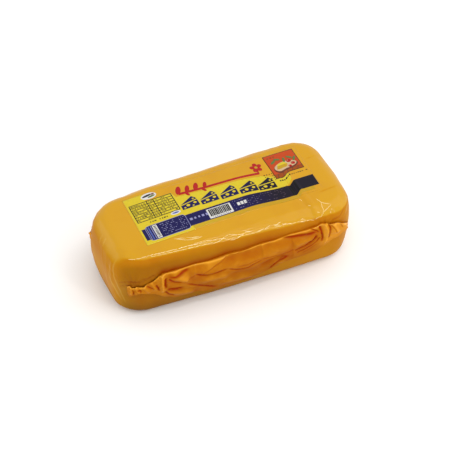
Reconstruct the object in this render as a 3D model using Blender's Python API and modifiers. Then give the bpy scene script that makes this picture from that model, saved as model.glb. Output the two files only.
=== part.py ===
"""Rectangular cheese loaf, tightly wrapped in film, with its printed label on top.

The loaf lies on its flat underside, which touches z = 0. +X runs along its length towards its
broader end, -Y faces the long side whose fin is fully in view, and +Z is up. The film closes in
a seam round the loaf. Along both long sides its surplus is gathered into a fin, which stands out
from the side just under the top edge and hangs down over it. The wrap fits the cheese closely
and can't be seen into, so loaf, film and fins are one solid. The label is a second, thin one.
"""

import math
from typing import NamedTuple

import bmesh
import bpy
import numpy as np

MM = 0.001

# Loaf: driving dimensions, before the sides bow outwards
LENGTH = 0.3000
WIDTH = 0.1257
HEIGHT = 0.0923
CORNER_RADIUS_NARROW_END = 0.0316
CORNER_RADIUS_BROAD_END = 0.0300
TOP_EDGE_RADIUS = 0.0147
BOTTOM_EDGE_RADIUS = 0.0116
TAPER_FRONT = 0.131
TAPER_BACK = 0.026
BELLY_OF_SIDES = 0.0044
BELLY_OF_ENDS = 0.0065
BOW_OF_SIDES = 0.0037
BOW_OF_ENDS = 0.0049
CROWN = 0.0035

# Middle of the whole wrap's outline, fins included, seen from above
CENTRE_X = 0.0
CENTRE_Y = -0.0016

# Mesh of the loaf: faces along X, Y and Z, closer together towards the rounded edges
FACES_ALONG = 30
FACES_ACROSS = 14
FACES_UP = 12
CROWDING = 0.8

# Film fins
FILM_THICKNESS = 0.0025
FIN_ROOT_DEPTH = 0.003
UNDERCUT = 0.012
EDGE_SHARE = 0.8
LIP_DROP = 0.004
LIP_SHARE = 0.7
FADE = 5.0
FIN_FACES_ALONG = 76
FIN_ROWS = (0.0, 0.05, 0.11, 0.19, 0.28, 0.37, 0.46, 0.55, 0.64, 0.73, 0.82, 0.91, 1.0)

# Label: its corners on the loaf's top, and its sheet
LABEL_LEFT = -0.1080
LABEL_RIGHT = 0.1205
LABEL_FRONT = -0.0330
LABEL_BACK = 0.0455
LABEL_GAP = 0.0003
LABEL_THICKNESS = 0.0004
LABEL_FACES_ALONG = 24
LABEL_FACES_ACROSS = 8


class Fold(NamedTuple):
    """A straight ridge or crease of a fin, in millimetres along the side and up from the floor.

    A ridge has a height above 0 and a crease one below. The fold falls off over `left` mm on
    the left of its direction and over `right` mm on the right.
    """

    start: tuple
    end: tuple
    height: float
    left: float
    right: float


class Fin(NamedTuple):
    """A fin of one long side: side is -1 at the front and 1 at the back.

    root, edge and stand are lines over the distance along the side, in millimetres: the height
    where the fin leaves the loaf, the height of its hanging edge and how far it stands out.
    """

    side: int
    root: tuple
    edge: tuple
    stand: tuple
    folds: tuple


FRONT_FIN = Fin(
    side=-1,
    root=((-158, 49), (-140, 53), (-126, 58), (-110, 65), (-103, 71), (-62, 75), (-45, 73.5),
          (-20, 76), (0, 75), (20, 78), (60, 79.5), (95, 78), (108, 74), (122, 70), (154, 58)),
    edge=((-158, 45), (-130, 48), (-118, 43), (-100, 33), (-88, 26), (-60, 24), (-33, 19.5),
          (10, 22), (25, 26), (40, 32), (58, 36), (90, 37), (112, 46), (128, 52), (154, 53)),
    stand=((-158, -2), (-146, 2.5), (-118, 3.5), (-103, 6), (-60, 6), (0, 6.5), (60, 6.5),
           (102, 7), (112, 5), (140, 5), (154, -2)),
    folds=(
        Fold((-103, 74), (-103, 42), 4.0, 5, 5),
        Fold((-97, 66), (-99, 46), -4.5, 5, 5),
        Fold((-95, 63), (-76, 49), 3.6, 10, 5),
        Fold((-99, 45), (-82, 35), -4.5, 5, 6),
        Fold((-78, 49), (-36, 24), -3.6, 5, 9),
        Fold((-63, 80), (-63, 58), 2.2, 12, 5),
        Fold((-52, 57), (-20, 72), 3.2, 6, 14),
        Fold((-62, 57), (-45, 52), -5.0, 5, 9),
        Fold((-45, 52), (-16, 52), -5.0, 5, 9),
        Fold((-16, 50), (4, 45), -3.2, 6, 9),
        Fold((4, 45), (24, 52), -3.2, 6, 9),
        Fold((24, 52), (70, 51), -2.9, 6, 9),
        Fold((70, 51), (97, 63), -4.7, 5, 9),
        Fold((46, 72), (92, 71), -3.6, 6, 7),
        Fold((72, 80), (98, 66), 2.5, 6, 6),
        Fold((30, 31), (58, 45), -4.7, 12, 4),
        Fold((102, 78), (104, 44), 4.0, 5, 5),
        Fold((109, 72), (111, 52), -4.5, 5, 5),
        Fold((106, 74), (124, 56), 3.2, 6, 6),
        Fold((-140, 55), (-122, 50), 2.7, 5, 5),
        Fold((-126, 60), (-108, 64), -4.0, 5, 6),
    ),
)

BACK_FIN = Fin(
    side=1,
    root=((-174, 51), (-155, 57), (-128, 61), (-108, 70), (-60, 74), (-20, 73), (30, 76),
          (85, 75), (104, 72), (122, 62), (150, 52)),
    edge=((-174, 46), (-155, 46), (-135, 44), (-112, 36), (-85, 27), (-40, 22), (0, 24), (45, 21),
          (80, 30), (108, 38), (150, 47)),
    stand=((-174, -2), (-160, 6), (-125, 4), (-108, 6), (-50, 6.5), (40, 6.5), (85, 6),
           (104, 7), (118, 4), (138, 3), (150, -2)),
    folds=(
        Fold((-108, 72), (-106, 42), 4.0, 5, 5),
        Fold((-101, 66), (-99, 44), -4.5, 5, 5),
        Fold((-96, 60), (-60, 48), -4.3, 6, 9),
        Fold((-60, 48), (-18, 53), -4.3, 6, 9),
        Fold((-74, 76), (-70, 56), 2.5, 6, 12),
        Fold((-30, 70), (8, 58), 3.2, 12, 6),
        Fold((-18, 53), (22, 46), -4.0, 6, 9),
        Fold((22, 46), (66, 54), -4.0, 6, 9),
        Fold((66, 54), (96, 64), -4.7, 6, 9),
        Fold((14, 34), (52, 28), -3.6, 9, 5),
        Fold((40, 74), (78, 62), 2.9, 12, 6),
        Fold((104, 76), (102, 44), 4.0, 5, 5),
        Fold((110, 66), (112, 48), -4.3, 5, 5),
        Fold((-150, 52), (-124, 52), 2.5, 5, 5),
    ),
)


def soft(value):
    """Ease a value from 0 to 1, flat at both ends."""
    value = np.clip(value, 0.0, 1.0)
    return value * value * (3.0 - 2.0 * value)


def round_off(u, v):
    """Map the corner of a square with its inner corner at 0, 0 onto a quarter disc."""
    reach = np.hypot(u, v)
    share = np.where(reach > 1e-9, np.maximum(u, v) / np.maximum(reach, 1e-9), 1.0)
    both = (u > 0) & (v > 0)
    return np.where(both, u * share, u), np.where(both, v * share, v)


def loaf_surface(a, b, c):
    """Place points of a cube from -1 to 1 on the loaf, as arrays of x, y and z."""
    half_x = LENGTH / 2
    half_y = WIDTH / 2
    corner = np.where(a < 0, CORNER_RADIUS_NARROW_END, CORNER_RADIUS_BROAD_END)
    x = a * half_x
    y = b * half_y
    z = (c + 1) / 2 * HEIGHT

    # Vertical corners, seen from above
    u, v = round_off(np.abs(x) - half_x + corner, np.abs(y) - half_y + corner)
    x = np.sign(x) * (u + half_x - corner)
    y = np.sign(y) * (v + half_y - corner)
    in_corner = (u > 0) & (v > 0)
    reach = np.maximum(np.hypot(u, v), 1e-9)
    on_end = np.abs(x) - half_x > np.abs(y) - half_y
    out_x = np.where(in_corner, u / reach, on_end) * np.sign(x)
    out_y = np.where(in_corner, v / reach, ~on_end) * np.sign(y)
    depth = np.where(in_corner, corner - reach, np.minimum(half_x - np.abs(x), half_y - np.abs(y)))

    # Rounded edges round the top and the underside
    for radius, height_in in ((TOP_EDGE_RADIUS, z - HEIGHT + TOP_EDGE_RADIUS),
                              (BOTTOM_EDGE_RADIUS, BOTTOM_EDGE_RADIUS - z)):
        across = radius - depth
        rounded, risen = round_off(across, height_in)
        on_edge = (across > 0) & (height_in > 0)
        inwards = np.where(on_edge, across - rounded, 0.0)
        x = x - out_x * inwards
        y = y - out_y * inwards
        at_top = HEIGHT - TOP_EDGE_RADIUS + risen
        at_bottom = BOTTOM_EDGE_RADIUS - risen
        z = np.where(on_edge, at_top if radius == TOP_EDGE_RADIUS else at_bottom, z)

    # Belly at half height, bow along the sides, taper towards one end and crown of the top
    share_up = z / HEIGHT
    off_middle = (2 * share_up - 1) ** 2
    y = y * (1 - BELLY_OF_SIDES / half_y * off_middle)
    x = x * (1 - BELLY_OF_ENDS / half_x * off_middle)
    y = y * (1 + BOW_OF_SIDES / half_y * (1 - (x / half_x) ** 2))
    x = x * (1 + BOW_OF_ENDS / half_x * (1 - (y / half_y) ** 2))
    y = y * (1 + np.where(y < 0, TAPER_FRONT, TAPER_BACK) * x / half_x)
    z = z + share_up * CROWN * (1 - (x / half_x) ** 2) * (1 - (y / half_y) ** 2)
    return x - CENTRE_X, y - CENTRE_Y, z


def side_surface(side, along, up):
    """Place points on a long side: along runs round the corners past the side's ends."""
    share = along / (LENGTH / 2)
    past_end = np.maximum(np.abs(share) - 1, 0)
    across = side * (1 - past_end * LENGTH / WIDTH)
    return loaf_surface(np.clip(share, -1, 1), across, 2 * up / HEIGHT - 1)


def on_line(line, along):
    """Height of a fin's line at a distance along the side, both in millimetres."""
    stations, values = zip(*line)
    return np.interp(along, stations, values)


def fold_relief(fold, along, up):
    """How far one fold moves the fin's face outwards at each point, in millimetres."""
    run_s = fold.end[0] - fold.start[0]
    run_z = fold.end[1] - fold.start[1]
    length = math.hypot(run_s, run_z)
    forward = ((along - fold.start[0]) * run_s + (up - fold.start[1]) * run_z) / length
    leftward = ((up - fold.start[1]) * run_s - (along - fold.start[0]) * run_z) / length
    width = np.where(leftward > 0, fold.left, fold.right)
    tent = np.clip(1 - np.abs(leftward) / width, 0, 1)
    ends = soft((forward + FADE) / (2 * FADE)) * soft((length + FADE - forward) / (2 * FADE))
    return fold.height * tent * ends


def fin_section(fin, along):
    """Ring of a fin at each distance along the side: heights and distances out, in metres."""
    root = on_line(fin.root, along)
    edge = on_line(fin.edge, along)
    stand = on_line(fin.stand, along)
    heights = [root]
    reaches = [np.full_like(root, -FIN_ROOT_DEPTH / MM)]
    for row in FIN_ROWS:
        up = root + (edge - root) * row
        lip = LIP_SHARE + (1 - LIP_SHARE) * soft((root - up) * MM / LIP_DROP)
        hang = 1 + (EDGE_SHARE - 1) * row
        relief = sum(fold_relief(fold, along, up) for fold in fin.folds)
        calm = soft(stand / 3)
        heights.append(up)
        reaches.append(stand * lip * hang + relief * calm)
    heights.append(edge + 1.0)
    reaches.append(np.minimum(reaches[-1] - FILM_THICKNESS / MM, stand))
    heights.append(np.minimum(edge + UNDERCUT / MM, root - 1))
    reaches.append(np.full_like(root, -FIN_ROOT_DEPTH / MM))
    return np.array(heights) * MM, np.array(reaches) * MM


def fin_points(fin, stations):
    """Points of a fin's rings, one row of the arrays for each point round the ring."""
    heights, reaches = fin_section(fin, stations)
    along = np.broadcast_to(stations * MM, heights.shape)
    x, y, z = side_surface(fin.side, along, heights)
    step = 0.5 * MM
    ahead_x, ahead_y, _ = side_surface(fin.side, along + step, heights)
    behind_x, behind_y, _ = side_surface(fin.side, along - step, heights)
    run_x = ahead_x - behind_x
    run_y = ahead_y - behind_y
    run = np.hypot(run_x, run_y)
    return x - fin.side * run_y / run * reaches, y + fin.side * run_x / run * reaches, z


def new_object(name, shape, collection):
    """Turn a finished bmesh into an object of a collection."""
    mesh = bpy.data.meshes.new(name)
    shape.to_mesh(mesh)
    shape.free()
    piece = bpy.data.objects.new(name, mesh)
    collection.objects.link(piece)
    return piece


def new_collection(name):
    """Make an empty collection in the scene."""
    collection = bpy.data.collections.new(name)
    bpy.context.scene.collection.children.link(collection)
    return collection


def finish(name, colour, roughness):
    """A plain material with a linear colour."""
    material = bpy.data.materials.new(name)
    material.use_nodes = True
    shader = material.node_tree.nodes["Principled BSDF"]
    shader.inputs["Base Color"].default_value = (*colour, 1.0)
    shader.inputs["Roughness"].default_value = roughness
    shader.inputs["Metallic"].default_value = 0.0
    return material


def crowded(count):
    """Places of the grid lines of a cube's side, closer together at both ends."""
    even = np.linspace(-1, 1, count + 1)
    return np.sin(even * math.pi / 2 * CROWDING) / math.sin(math.pi / 2 * CROWDING)


def cut_across(shape, axis, places):
    """Cut a mesh by planes square to an axis."""
    normal = [0.0, 0.0, 0.0]
    normal[axis] = 1.0
    for place in places:
        point = [0.0, 0.0, 0.0]
        point[axis] = float(place)
        bmesh.ops.bisect_plane(shape, geom=shape.verts[:] + shape.edges[:] + shape.faces[:],
                               plane_co=point, plane_no=normal, dist=1e-6)


def make_loaf(collection):
    """The wrapped loaf without its fins: a gridded cube, shaped point by point."""
    shape = bmesh.new()
    bmesh.ops.create_cube(shape, size=2)
    for axis, count in enumerate((FACES_ALONG, FACES_ACROSS, FACES_UP)):
        cut_across(shape, axis, crowded(count)[1:-1])
    shape.verts.ensure_lookup_table()
    cube = np.array([vert.co for vert in shape.verts], dtype=float)
    placed = np.stack(loaf_surface(*cube.T), axis=-1)
    for vert, point in zip(shape.verts, placed):
        vert.co = point
    underside = [face for face in shape.faces if max(vert.co.z for vert in face.verts) < 1e-6]
    bmesh.ops.dissolve_faces(shape, faces=underside)
    return new_object("wrapped_loaf", shape, collection)


def make_fin(fin, name, collection):
    """One fin: a grid rolled up into a tube along the side, with both ends closed."""
    first = fin.stand[0][0]
    last = fin.stand[-1][0]
    stations = np.linspace(first, last, FIN_FACES_ALONG + 1)
    points = np.stack(fin_points(fin, stations), axis=-1)
    around = len(points)
    shape = bmesh.new()
    bmesh.ops.create_grid(shape, x_segments=FIN_FACES_ALONG, y_segments=around, size=1)
    for vert in shape.verts:
        station = round((vert.co.x + 1) / 2 * FIN_FACES_ALONG)
        place = round((vert.co.y + 1) / 2 * around) % around
        vert.co = points[place, station]
    bmesh.ops.remove_doubles(shape, verts=shape.verts, dist=1e-6)
    rims = [edge for edge in shape.edges if edge.is_boundary]
    bmesh.ops.holes_fill(shape, edges=rims, sides=around)
    bmesh.ops.recalc_face_normals(shape, faces=shape.faces)
    bmesh.ops.triangulate(shape, faces=shape.faces)
    return new_object(name, shape, collection)


def join_fins(loaf, fins):
    """Fuse the fins onto the loaf, and remove them once they are part of it."""
    union = loaf.modifiers.new("fins", "BOOLEAN")
    union.operation = "UNION"
    union.operand_type = "COLLECTION"
    union.collection = fins
    union.solver = "EXACT"
    evaluated = loaf.evaluated_get(bpy.context.evaluated_depsgraph_get())
    fused = bpy.data.meshes.new_from_object(evaluated)
    loaf.modifiers.clear()
    loaf.data = fused
    for fin in list(fins.objects):
        bpy.data.objects.remove(fin)
    bpy.data.collections.remove(fins)


def make_label(collection):
    """The label: a thin sheet that follows the crown of the loaf's top."""
    shape = bmesh.new()
    bmesh.ops.create_grid(shape, x_segments=LABEL_FACES_ALONG, y_segments=LABEL_FACES_ACROSS, size=1)
    for vert in shape.verts:
        x = LABEL_LEFT + (vert.co.x + 1) / 2 * (LABEL_RIGHT - LABEL_LEFT)
        y = LABEL_FRONT + (vert.co.y + 1) / 2 * (LABEL_BACK - LABEL_FRONT)
        rise = (1 - (2 * x / LENGTH) ** 2) * (1 - (2 * y / WIDTH) ** 2)
        vert.co = (x - CENTRE_X, y - CENTRE_Y, HEIGHT + CROWN * rise + LABEL_GAP)
    label = new_object("label", shape, collection)
    sheet = label.modifiers.new("sheet", "SOLIDIFY")
    sheet.thickness = LABEL_THICKNESS
    sheet.offset = 1.0
    return label


def main():
    """Build the wrapped loaf and its label."""
    for old in list(bpy.data.objects):
        bpy.data.objects.remove(old)
    collection = new_collection("cheese_loaf")
    fins = new_collection("fins")
    loaf = make_loaf(collection)
    make_fin(FRONT_FIN, "front_fin", fins)
    make_fin(BACK_FIN, "back_fin", fins)
    join_fins(loaf, fins)
    label = make_label(collection)
    loaf.data.materials.clear()
    loaf.data.materials.append(finish("yellow_film", (0.75, 0.36, 0.03), 0.3))
    label.data.materials.append(finish("printed_paper", (0.76, 0.62, 0.03), 0.35))


main()
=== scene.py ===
"""Looks of a rectangular cheese loaf in a tight film wrap, with a printed label on its top.

The loaf lies on its underside. +X runs towards its broader end, -Y faces the long side that the
camera sees and +Z is up. Lengths are in metres. Places on the label and on the fins are in
millimetres, because that is how such a print and such folds are measured.
"""

from __future__ import annotations

import logging
import math
from dataclasses import dataclass, field
from enum import Enum

import bmesh
import bpy
import numpy as np
from mathutils import Matrix, Vector
from mathutils.bvhtree import BVHTree

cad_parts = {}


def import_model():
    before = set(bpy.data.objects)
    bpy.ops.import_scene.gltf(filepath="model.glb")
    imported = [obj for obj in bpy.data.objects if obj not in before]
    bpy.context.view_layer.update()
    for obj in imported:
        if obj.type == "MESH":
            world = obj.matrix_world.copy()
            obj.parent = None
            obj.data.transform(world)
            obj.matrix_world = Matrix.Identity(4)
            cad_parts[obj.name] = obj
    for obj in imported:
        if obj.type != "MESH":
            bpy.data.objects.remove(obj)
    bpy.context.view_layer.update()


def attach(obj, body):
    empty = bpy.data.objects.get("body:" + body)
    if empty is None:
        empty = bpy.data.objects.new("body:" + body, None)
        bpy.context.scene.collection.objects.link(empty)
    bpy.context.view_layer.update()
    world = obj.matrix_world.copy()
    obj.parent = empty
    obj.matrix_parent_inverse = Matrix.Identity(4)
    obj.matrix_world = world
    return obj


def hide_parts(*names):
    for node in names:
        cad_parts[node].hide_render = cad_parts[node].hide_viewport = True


MM = 0.001
BODY = "root"
LOG = logging.getLogger("cheese_loaf")
Points = list[tuple[float, float]]

# The label's left, right, front and back edge, in millimetres in the loaf's own frame.
LABEL_BOX = (-108.0, 120.5, -33.0, 45.5)

# Attributes of the film's meshes, each from 0 to 1: how open the film lies, from a crease to the
# open top, with painted shade and painted highlights in it; how much painted shade darkens it;
# and how much pale painted sheen it gets.
LAYERS_AND_SHADE = "layers_and_shade"
PAINTED_SHADE = "painted_shade"
PAINTED_SHEEN = "painted_sheen"


class Side(Enum):
    """The long side that a fin hangs on, as the sign of its Y."""

    FRONT = -1
    BACK = 1


def linear(colour: str) -> tuple[float, float, float, float]:
    """Turn an sRGB hex colour into the linear values that a shader takes.

    Args:
        colour: six hex digits, such as "e0a32c".

    Returns:
        Red, green, blue and an alpha of 1.
    """
    parts = [int(colour[i:i + 2], 16) / 255 for i in (0, 2, 4)]
    straight = [part / 12.92 if part <= 0.04045 else ((part + 0.055) / 1.055) ** 2.4 for part in parts]
    return straight[0], straight[1], straight[2], 1.0


def add_node(tree: bpy.types.NodeTree, kind: str, inputs: dict[int | str, object] | None = None,
             **settings: object) -> bpy.types.Node:
    """Add a node with its settings, values and links.

    Args:
        tree: the tree that gets the node.
        kind: the node's type name.
        inputs: a value or a socket to link from, for each input's name or number.
        settings: properties of the node.

    Returns:
        The new node.
    """
    node = tree.nodes.new(kind)
    for name, value in settings.items():
        setattr(node, name, value)
    for key, value in (inputs or {}).items():
        if isinstance(value, bpy.types.NodeSocket):
            tree.links.new(value, node.inputs[key])
        else:
            node.inputs[key].default_value = value
    return node


def soft(value: np.ndarray, start: float = 0.0, end: float = 1.0) -> np.ndarray:
    """Ease from 0, where a value is at the start, to 1, where it is at the end, flat at both."""
    share = np.clip((value - start) / (end - start), 0.0, 1.0)
    return share * share * (3.0 - 2.0 * share)


@dataclass(frozen=True)
class Waves:
    """Smooth random unevenness: a sum of sine waves in random directions.

    Lengths and the height are in millimetres. A sharp wave has creased crests.
    """

    seed: int
    shortest: float
    longest: float
    height: float
    count: int = 14
    stretch: tuple[float, float, float] = (1.0, 1.0, 1.0)
    sharp: bool = False

    def at(self, x: np.ndarray, y: np.ndarray, z: np.ndarray) -> np.ndarray:
        """Height of the unevenness at each point.

        Args:
            x: the points' places along the first axis, in millimetres.
            y: their places along the second.
            z: their places along the third.

        Returns:
            Heights in millimetres, on both sides of 0.
        """
        draw = np.random.default_rng(self.seed)
        total = np.zeros(np.broadcast(x, y, z).shape)
        for _ in range(self.count):
            way = draw.normal(size=3)
            way /= np.linalg.norm(way)
            length = draw.uniform(self.shortest, self.longest)
            start = draw.uniform(0, 2 * math.pi)
            across = sum(w * p / s for w, p, s in zip(way, (x, y, z), self.stretch))
            phase = 2 * math.pi * across / length + start
            total = total + (1 - 2 * np.abs(np.sin(phase / 2)) if self.sharp else np.sin(phase))
        return total * self.height / math.sqrt(self.count)


@dataclass(frozen=True)
class Fold:
    """A straight ridge, or a crease where the height is below 0, in millimetres.

    It falls off over `left` on the left of its direction and over `right` on the right. A rounded
    one is a soft swell without a sharp line.
    """

    start: tuple[float, float]
    end: tuple[float, float]
    height: float
    left: float
    right: float
    fade: float = 4.0
    rounded: bool = False
    sharpness: float = 1.3

    def relief(self, along: np.ndarray, up: np.ndarray) -> np.ndarray:
        """How far the fold moves the surface outwards at each place.

        Args:
            along: distances along the surface, in millimetres.
            up: distances across it.

        Returns:
            Distances in millimetres.
        """
        run_s = self.end[0] - self.start[0]
        run_z = self.end[1] - self.start[1]
        length = math.hypot(run_s, run_z)
        forward = ((along - self.start[0]) * run_s + (up - self.start[1]) * run_z) / length
        leftward = ((up - self.start[1]) * run_s - (along - self.start[0]) * run_z) / length
        tent = np.clip(1 - np.abs(leftward) / np.where(leftward > 0, self.left, self.right), 0, 1)
        ends = soft(forward, -self.fade, self.fade)
        ends = ends * soft(forward, length + self.fade, length - self.fade)
        return self.height * (soft(tent) if self.rounded else tent ** self.sharpness) * ends


@dataclass(frozen=True)
class Crease:
    """A sharp line pressed into the film along a path, in millimetres.

    The film on the left of the path's direction may stand proud of the line by a lift, which
    fades away over a reach. A depth below 0 makes the line a ridge.
    """

    path: tuple[tuple[float, float], ...]
    depth: float = 0.8
    width: float = 1.1
    lift: float = 0.0
    reach: float = 8.0
    taper: float = 3.0
    step_width: float = 1.6
    # How sharply the line's painted shade, and a streak's painted highlight, narrow to the line.
    darkening: float = 1.6

    def nearest(self, along: np.ndarray, up: np.ndarray) -> tuple[np.ndarray, np.ndarray]:
        """How the path passes each place.

        Args:
            along: distances along the side.
            up: heights.

        Returns:
            The distance to the path, above 0 on its left, and a share that tapers at its ends.
        """
        best = np.full(np.broadcast(along, up).shape, 1e9)
        side = np.ones_like(best)
        place = np.zeros_like(best)
        done = 0.0
        for start, end in zip(self.path, self.path[1:]):
            run_s = end[0] - start[0]
            run_z = end[1] - start[1]
            length = math.hypot(run_s, run_z)
            share = np.clip(((along - start[0]) * run_s + (up - start[1]) * run_z) / length ** 2, 0, 1)
            off_s = along - start[0] - share * run_s
            off_z = up - start[1] - share * run_z
            distance = np.hypot(off_s, off_z)
            closer = distance < best
            best = np.where(closer, distance, best)
            side = np.where(closer, np.sign(run_s * off_z - run_z * off_s), side)
            place = np.where(closer, done + share * length, place)
            done += length
        ends = soft(place / self.taper + 0.1) * soft((done - place) / self.taper + 0.1)
        return best * side, ends

    def press(self, along: np.ndarray, up: np.ndarray) -> tuple[np.ndarray, np.ndarray]:
        """What the crease does to the surface at each place.

        Args:
            along: distances along the surface, in millimetres.
            up: distances across it.

        Returns:
            The relief in millimetres, and a share from 0 to 1 along the line, which is painted shade
            in a crease and a painted highlight along a streak.
        """
        away, ends = self.nearest(along, up)
        groove = np.exp(-(away / self.width) ** 2)
        half_step = self.step_width / 2
        proud = soft(away, -half_step, half_step) * np.exp(-np.maximum(away, 0) / self.reach)
        return ends * (self.lift * proud - self.depth * groove), ends * groove ** self.darkening


@dataclass(frozen=True)
class Gather:
    """Pleats that run out of a pinched spot like the rays of a fan, in millimetres.

    They rise over the flat middle and die away over the reach.
    """

    middle: tuple[float, float]
    reach: float
    height: float
    pleats: int
    start: float
    flat: float = 5.0

    def relief(self, along: np.ndarray, up: np.ndarray) -> np.ndarray:
        """How far the pleats move the surface outwards at each place.

        Args:
            along: distances along the surface, in millimetres.
            up: distances across it.

        Returns:
            Distances in millimetres.
        """
        run = along - self.middle[0]
        rise = up - self.middle[1]
        distance = np.hypot(run, rise)
        angle = np.arctan2(rise, run)
        wave = 1 - 2 * np.abs(np.sin(angle * self.pleats / 2 + self.start + 0.5 * np.sin(2 * angle)))
        return self.height * wave * np.exp(-(distance / self.reach) ** 1.5) * soft(distance, 0, self.flat)


@dataclass(frozen=True)
class LoafForm:
    """The outer form of the wrapped loaf: a rounded block, bellied, bowed, tapered and crowned.

    Lengths are in metres. The tapers are shares by which a side is further out at the broader end.
    """

    length: float = 0.3000
    width: float = 0.1257
    height: float = 0.0923
    narrow_corner: float = 0.0316
    broad_corner: float = 0.0300
    top_edge: float = 0.0147
    bottom_edge: float = 0.0116
    taper_front: float = 0.131
    taper_back: float = 0.026
    belly_of_sides: float = 0.0044
    belly_of_ends: float = 0.0065
    bow_of_sides: float = 0.0037
    bow_of_ends: float = 0.0049
    crown: float = 0.0035
    centre: tuple[float, float] = (0.0, -0.0016)

    @staticmethod
    def round_off(u: np.ndarray, v: np.ndarray) -> tuple[np.ndarray, np.ndarray]:
        """Map the corner of a square, whose inner corner is at 0, 0, onto a quarter disc.

        Args:
            u: places along the square's first side.
            v: places along its second side.

        Returns:
            The places on the disc. Those below 0 stay as they are.
        """
        reach = np.hypot(u, v)
        share = np.where(reach > 1e-9, np.maximum(u, v) / np.maximum(reach, 1e-9), 1.0)
        both = (u > 0) & (v > 0)
        return np.where(both, u * share, u), np.where(both, v * share, v)

    def surface(self, a: np.ndarray, b: np.ndarray, c: np.ndarray) -> tuple[np.ndarray, ...]:
        """Place points of a cube from -1 to 1 on the loaf.

        Args:
            a: places along the length.
            b: places across the width.
            c: places up the height.

        Returns:
            The points' x, y and z.
        """
        half_x = self.length / 2
        half_y = self.width / 2
        corner = np.where(a < 0, self.narrow_corner, self.broad_corner)
        x = a * half_x
        y = b * half_y
        z = (c + 1) / 2 * self.height
        # The four upright corners.
        u, v = self.round_off(np.abs(x) - half_x + corner, np.abs(y) - half_y + corner)
        x = np.sign(x) * (u + half_x - corner)
        y = np.sign(y) * (v + half_y - corner)
        in_corner = (u > 0) & (v > 0)
        reach = np.maximum(np.hypot(u, v), 1e-9)
        on_end = np.abs(x) - half_x > np.abs(y) - half_y
        out_x = np.where(in_corner, u / reach, on_end) * np.sign(x)
        out_y = np.where(in_corner, v / reach, ~on_end) * np.sign(y)
        depth = np.where(in_corner, corner - reach, np.minimum(half_x - np.abs(x), half_y - np.abs(y)))
        # The edges round the top and the underside.
        for at_top in (True, False):
            radius = self.top_edge if at_top else self.bottom_edge
            height_in = z - self.height + radius if at_top else radius - z
            across = radius - depth
            rounded, risen = self.round_off(across, height_in)
            on_edge = (across > 0) & (height_in > 0)
            inwards = np.where(on_edge, across - rounded, 0.0)
            x = x - out_x * inwards
            y = y - out_y * inwards
            z = np.where(on_edge, self.height - radius + risen if at_top else radius - risen, z)
        # The bellies, bows and tapers.
        share_up = z / self.height
        off_middle = (2 * share_up - 1) ** 2
        y = y * (1 - self.belly_of_sides / half_y * off_middle)
        x = x * (1 - self.belly_of_ends / half_x * off_middle)
        y = y * (1 + self.bow_of_sides / half_y * (1 - (x / half_x) ** 2))
        x = x * (1 + self.bow_of_ends / half_x * (1 - (y / half_y) ** 2))
        y = y * (1 + np.where(y < 0, self.taper_front, self.taper_back) * x / half_x)
        return x - self.centre[0], y - self.centre[1], self.crowned(x, y, z)

    def crowned(self, x: np.ndarray, y: np.ndarray, z: np.ndarray) -> np.ndarray:
        """Raise heights by the crown of the top, from places in the loaf's own frame."""
        rise = (1 - (2 * x / self.length) ** 2) * (1 - (2 * y / self.width) ** 2)
        return z + z / self.height * self.crown * rise

    def side_surface(self, side: Side, along: np.ndarray, up: np.ndarray) -> tuple[np.ndarray, ...]:
        """Place points on a long side.

        Args:
            side: the side.
            along: distances along it, which run on round the corners past the side's ends.
            up: heights.

        Returns:
            The points' x, y and z.
        """
        share = along / (self.length / 2)
        past_end = np.maximum(np.abs(share) - 1, 0)
        across = side.value * (1 - past_end * self.length / self.width)
        return self.surface(np.clip(share, -1, 1), across, 2 * up / self.height - 1)

    def along_side(self, side: Side, a: np.ndarray, b: np.ndarray) -> np.ndarray:
        """The distance along a long side of points of the cube's upright faces, in millimetres."""
        past_end = np.where(np.abs(a) > 1 - 1e-6, (1 - side.value * b) * self.width / 2, 0.0)
        return (a * self.length / 2 + np.sign(a) * past_end) / MM


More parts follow.
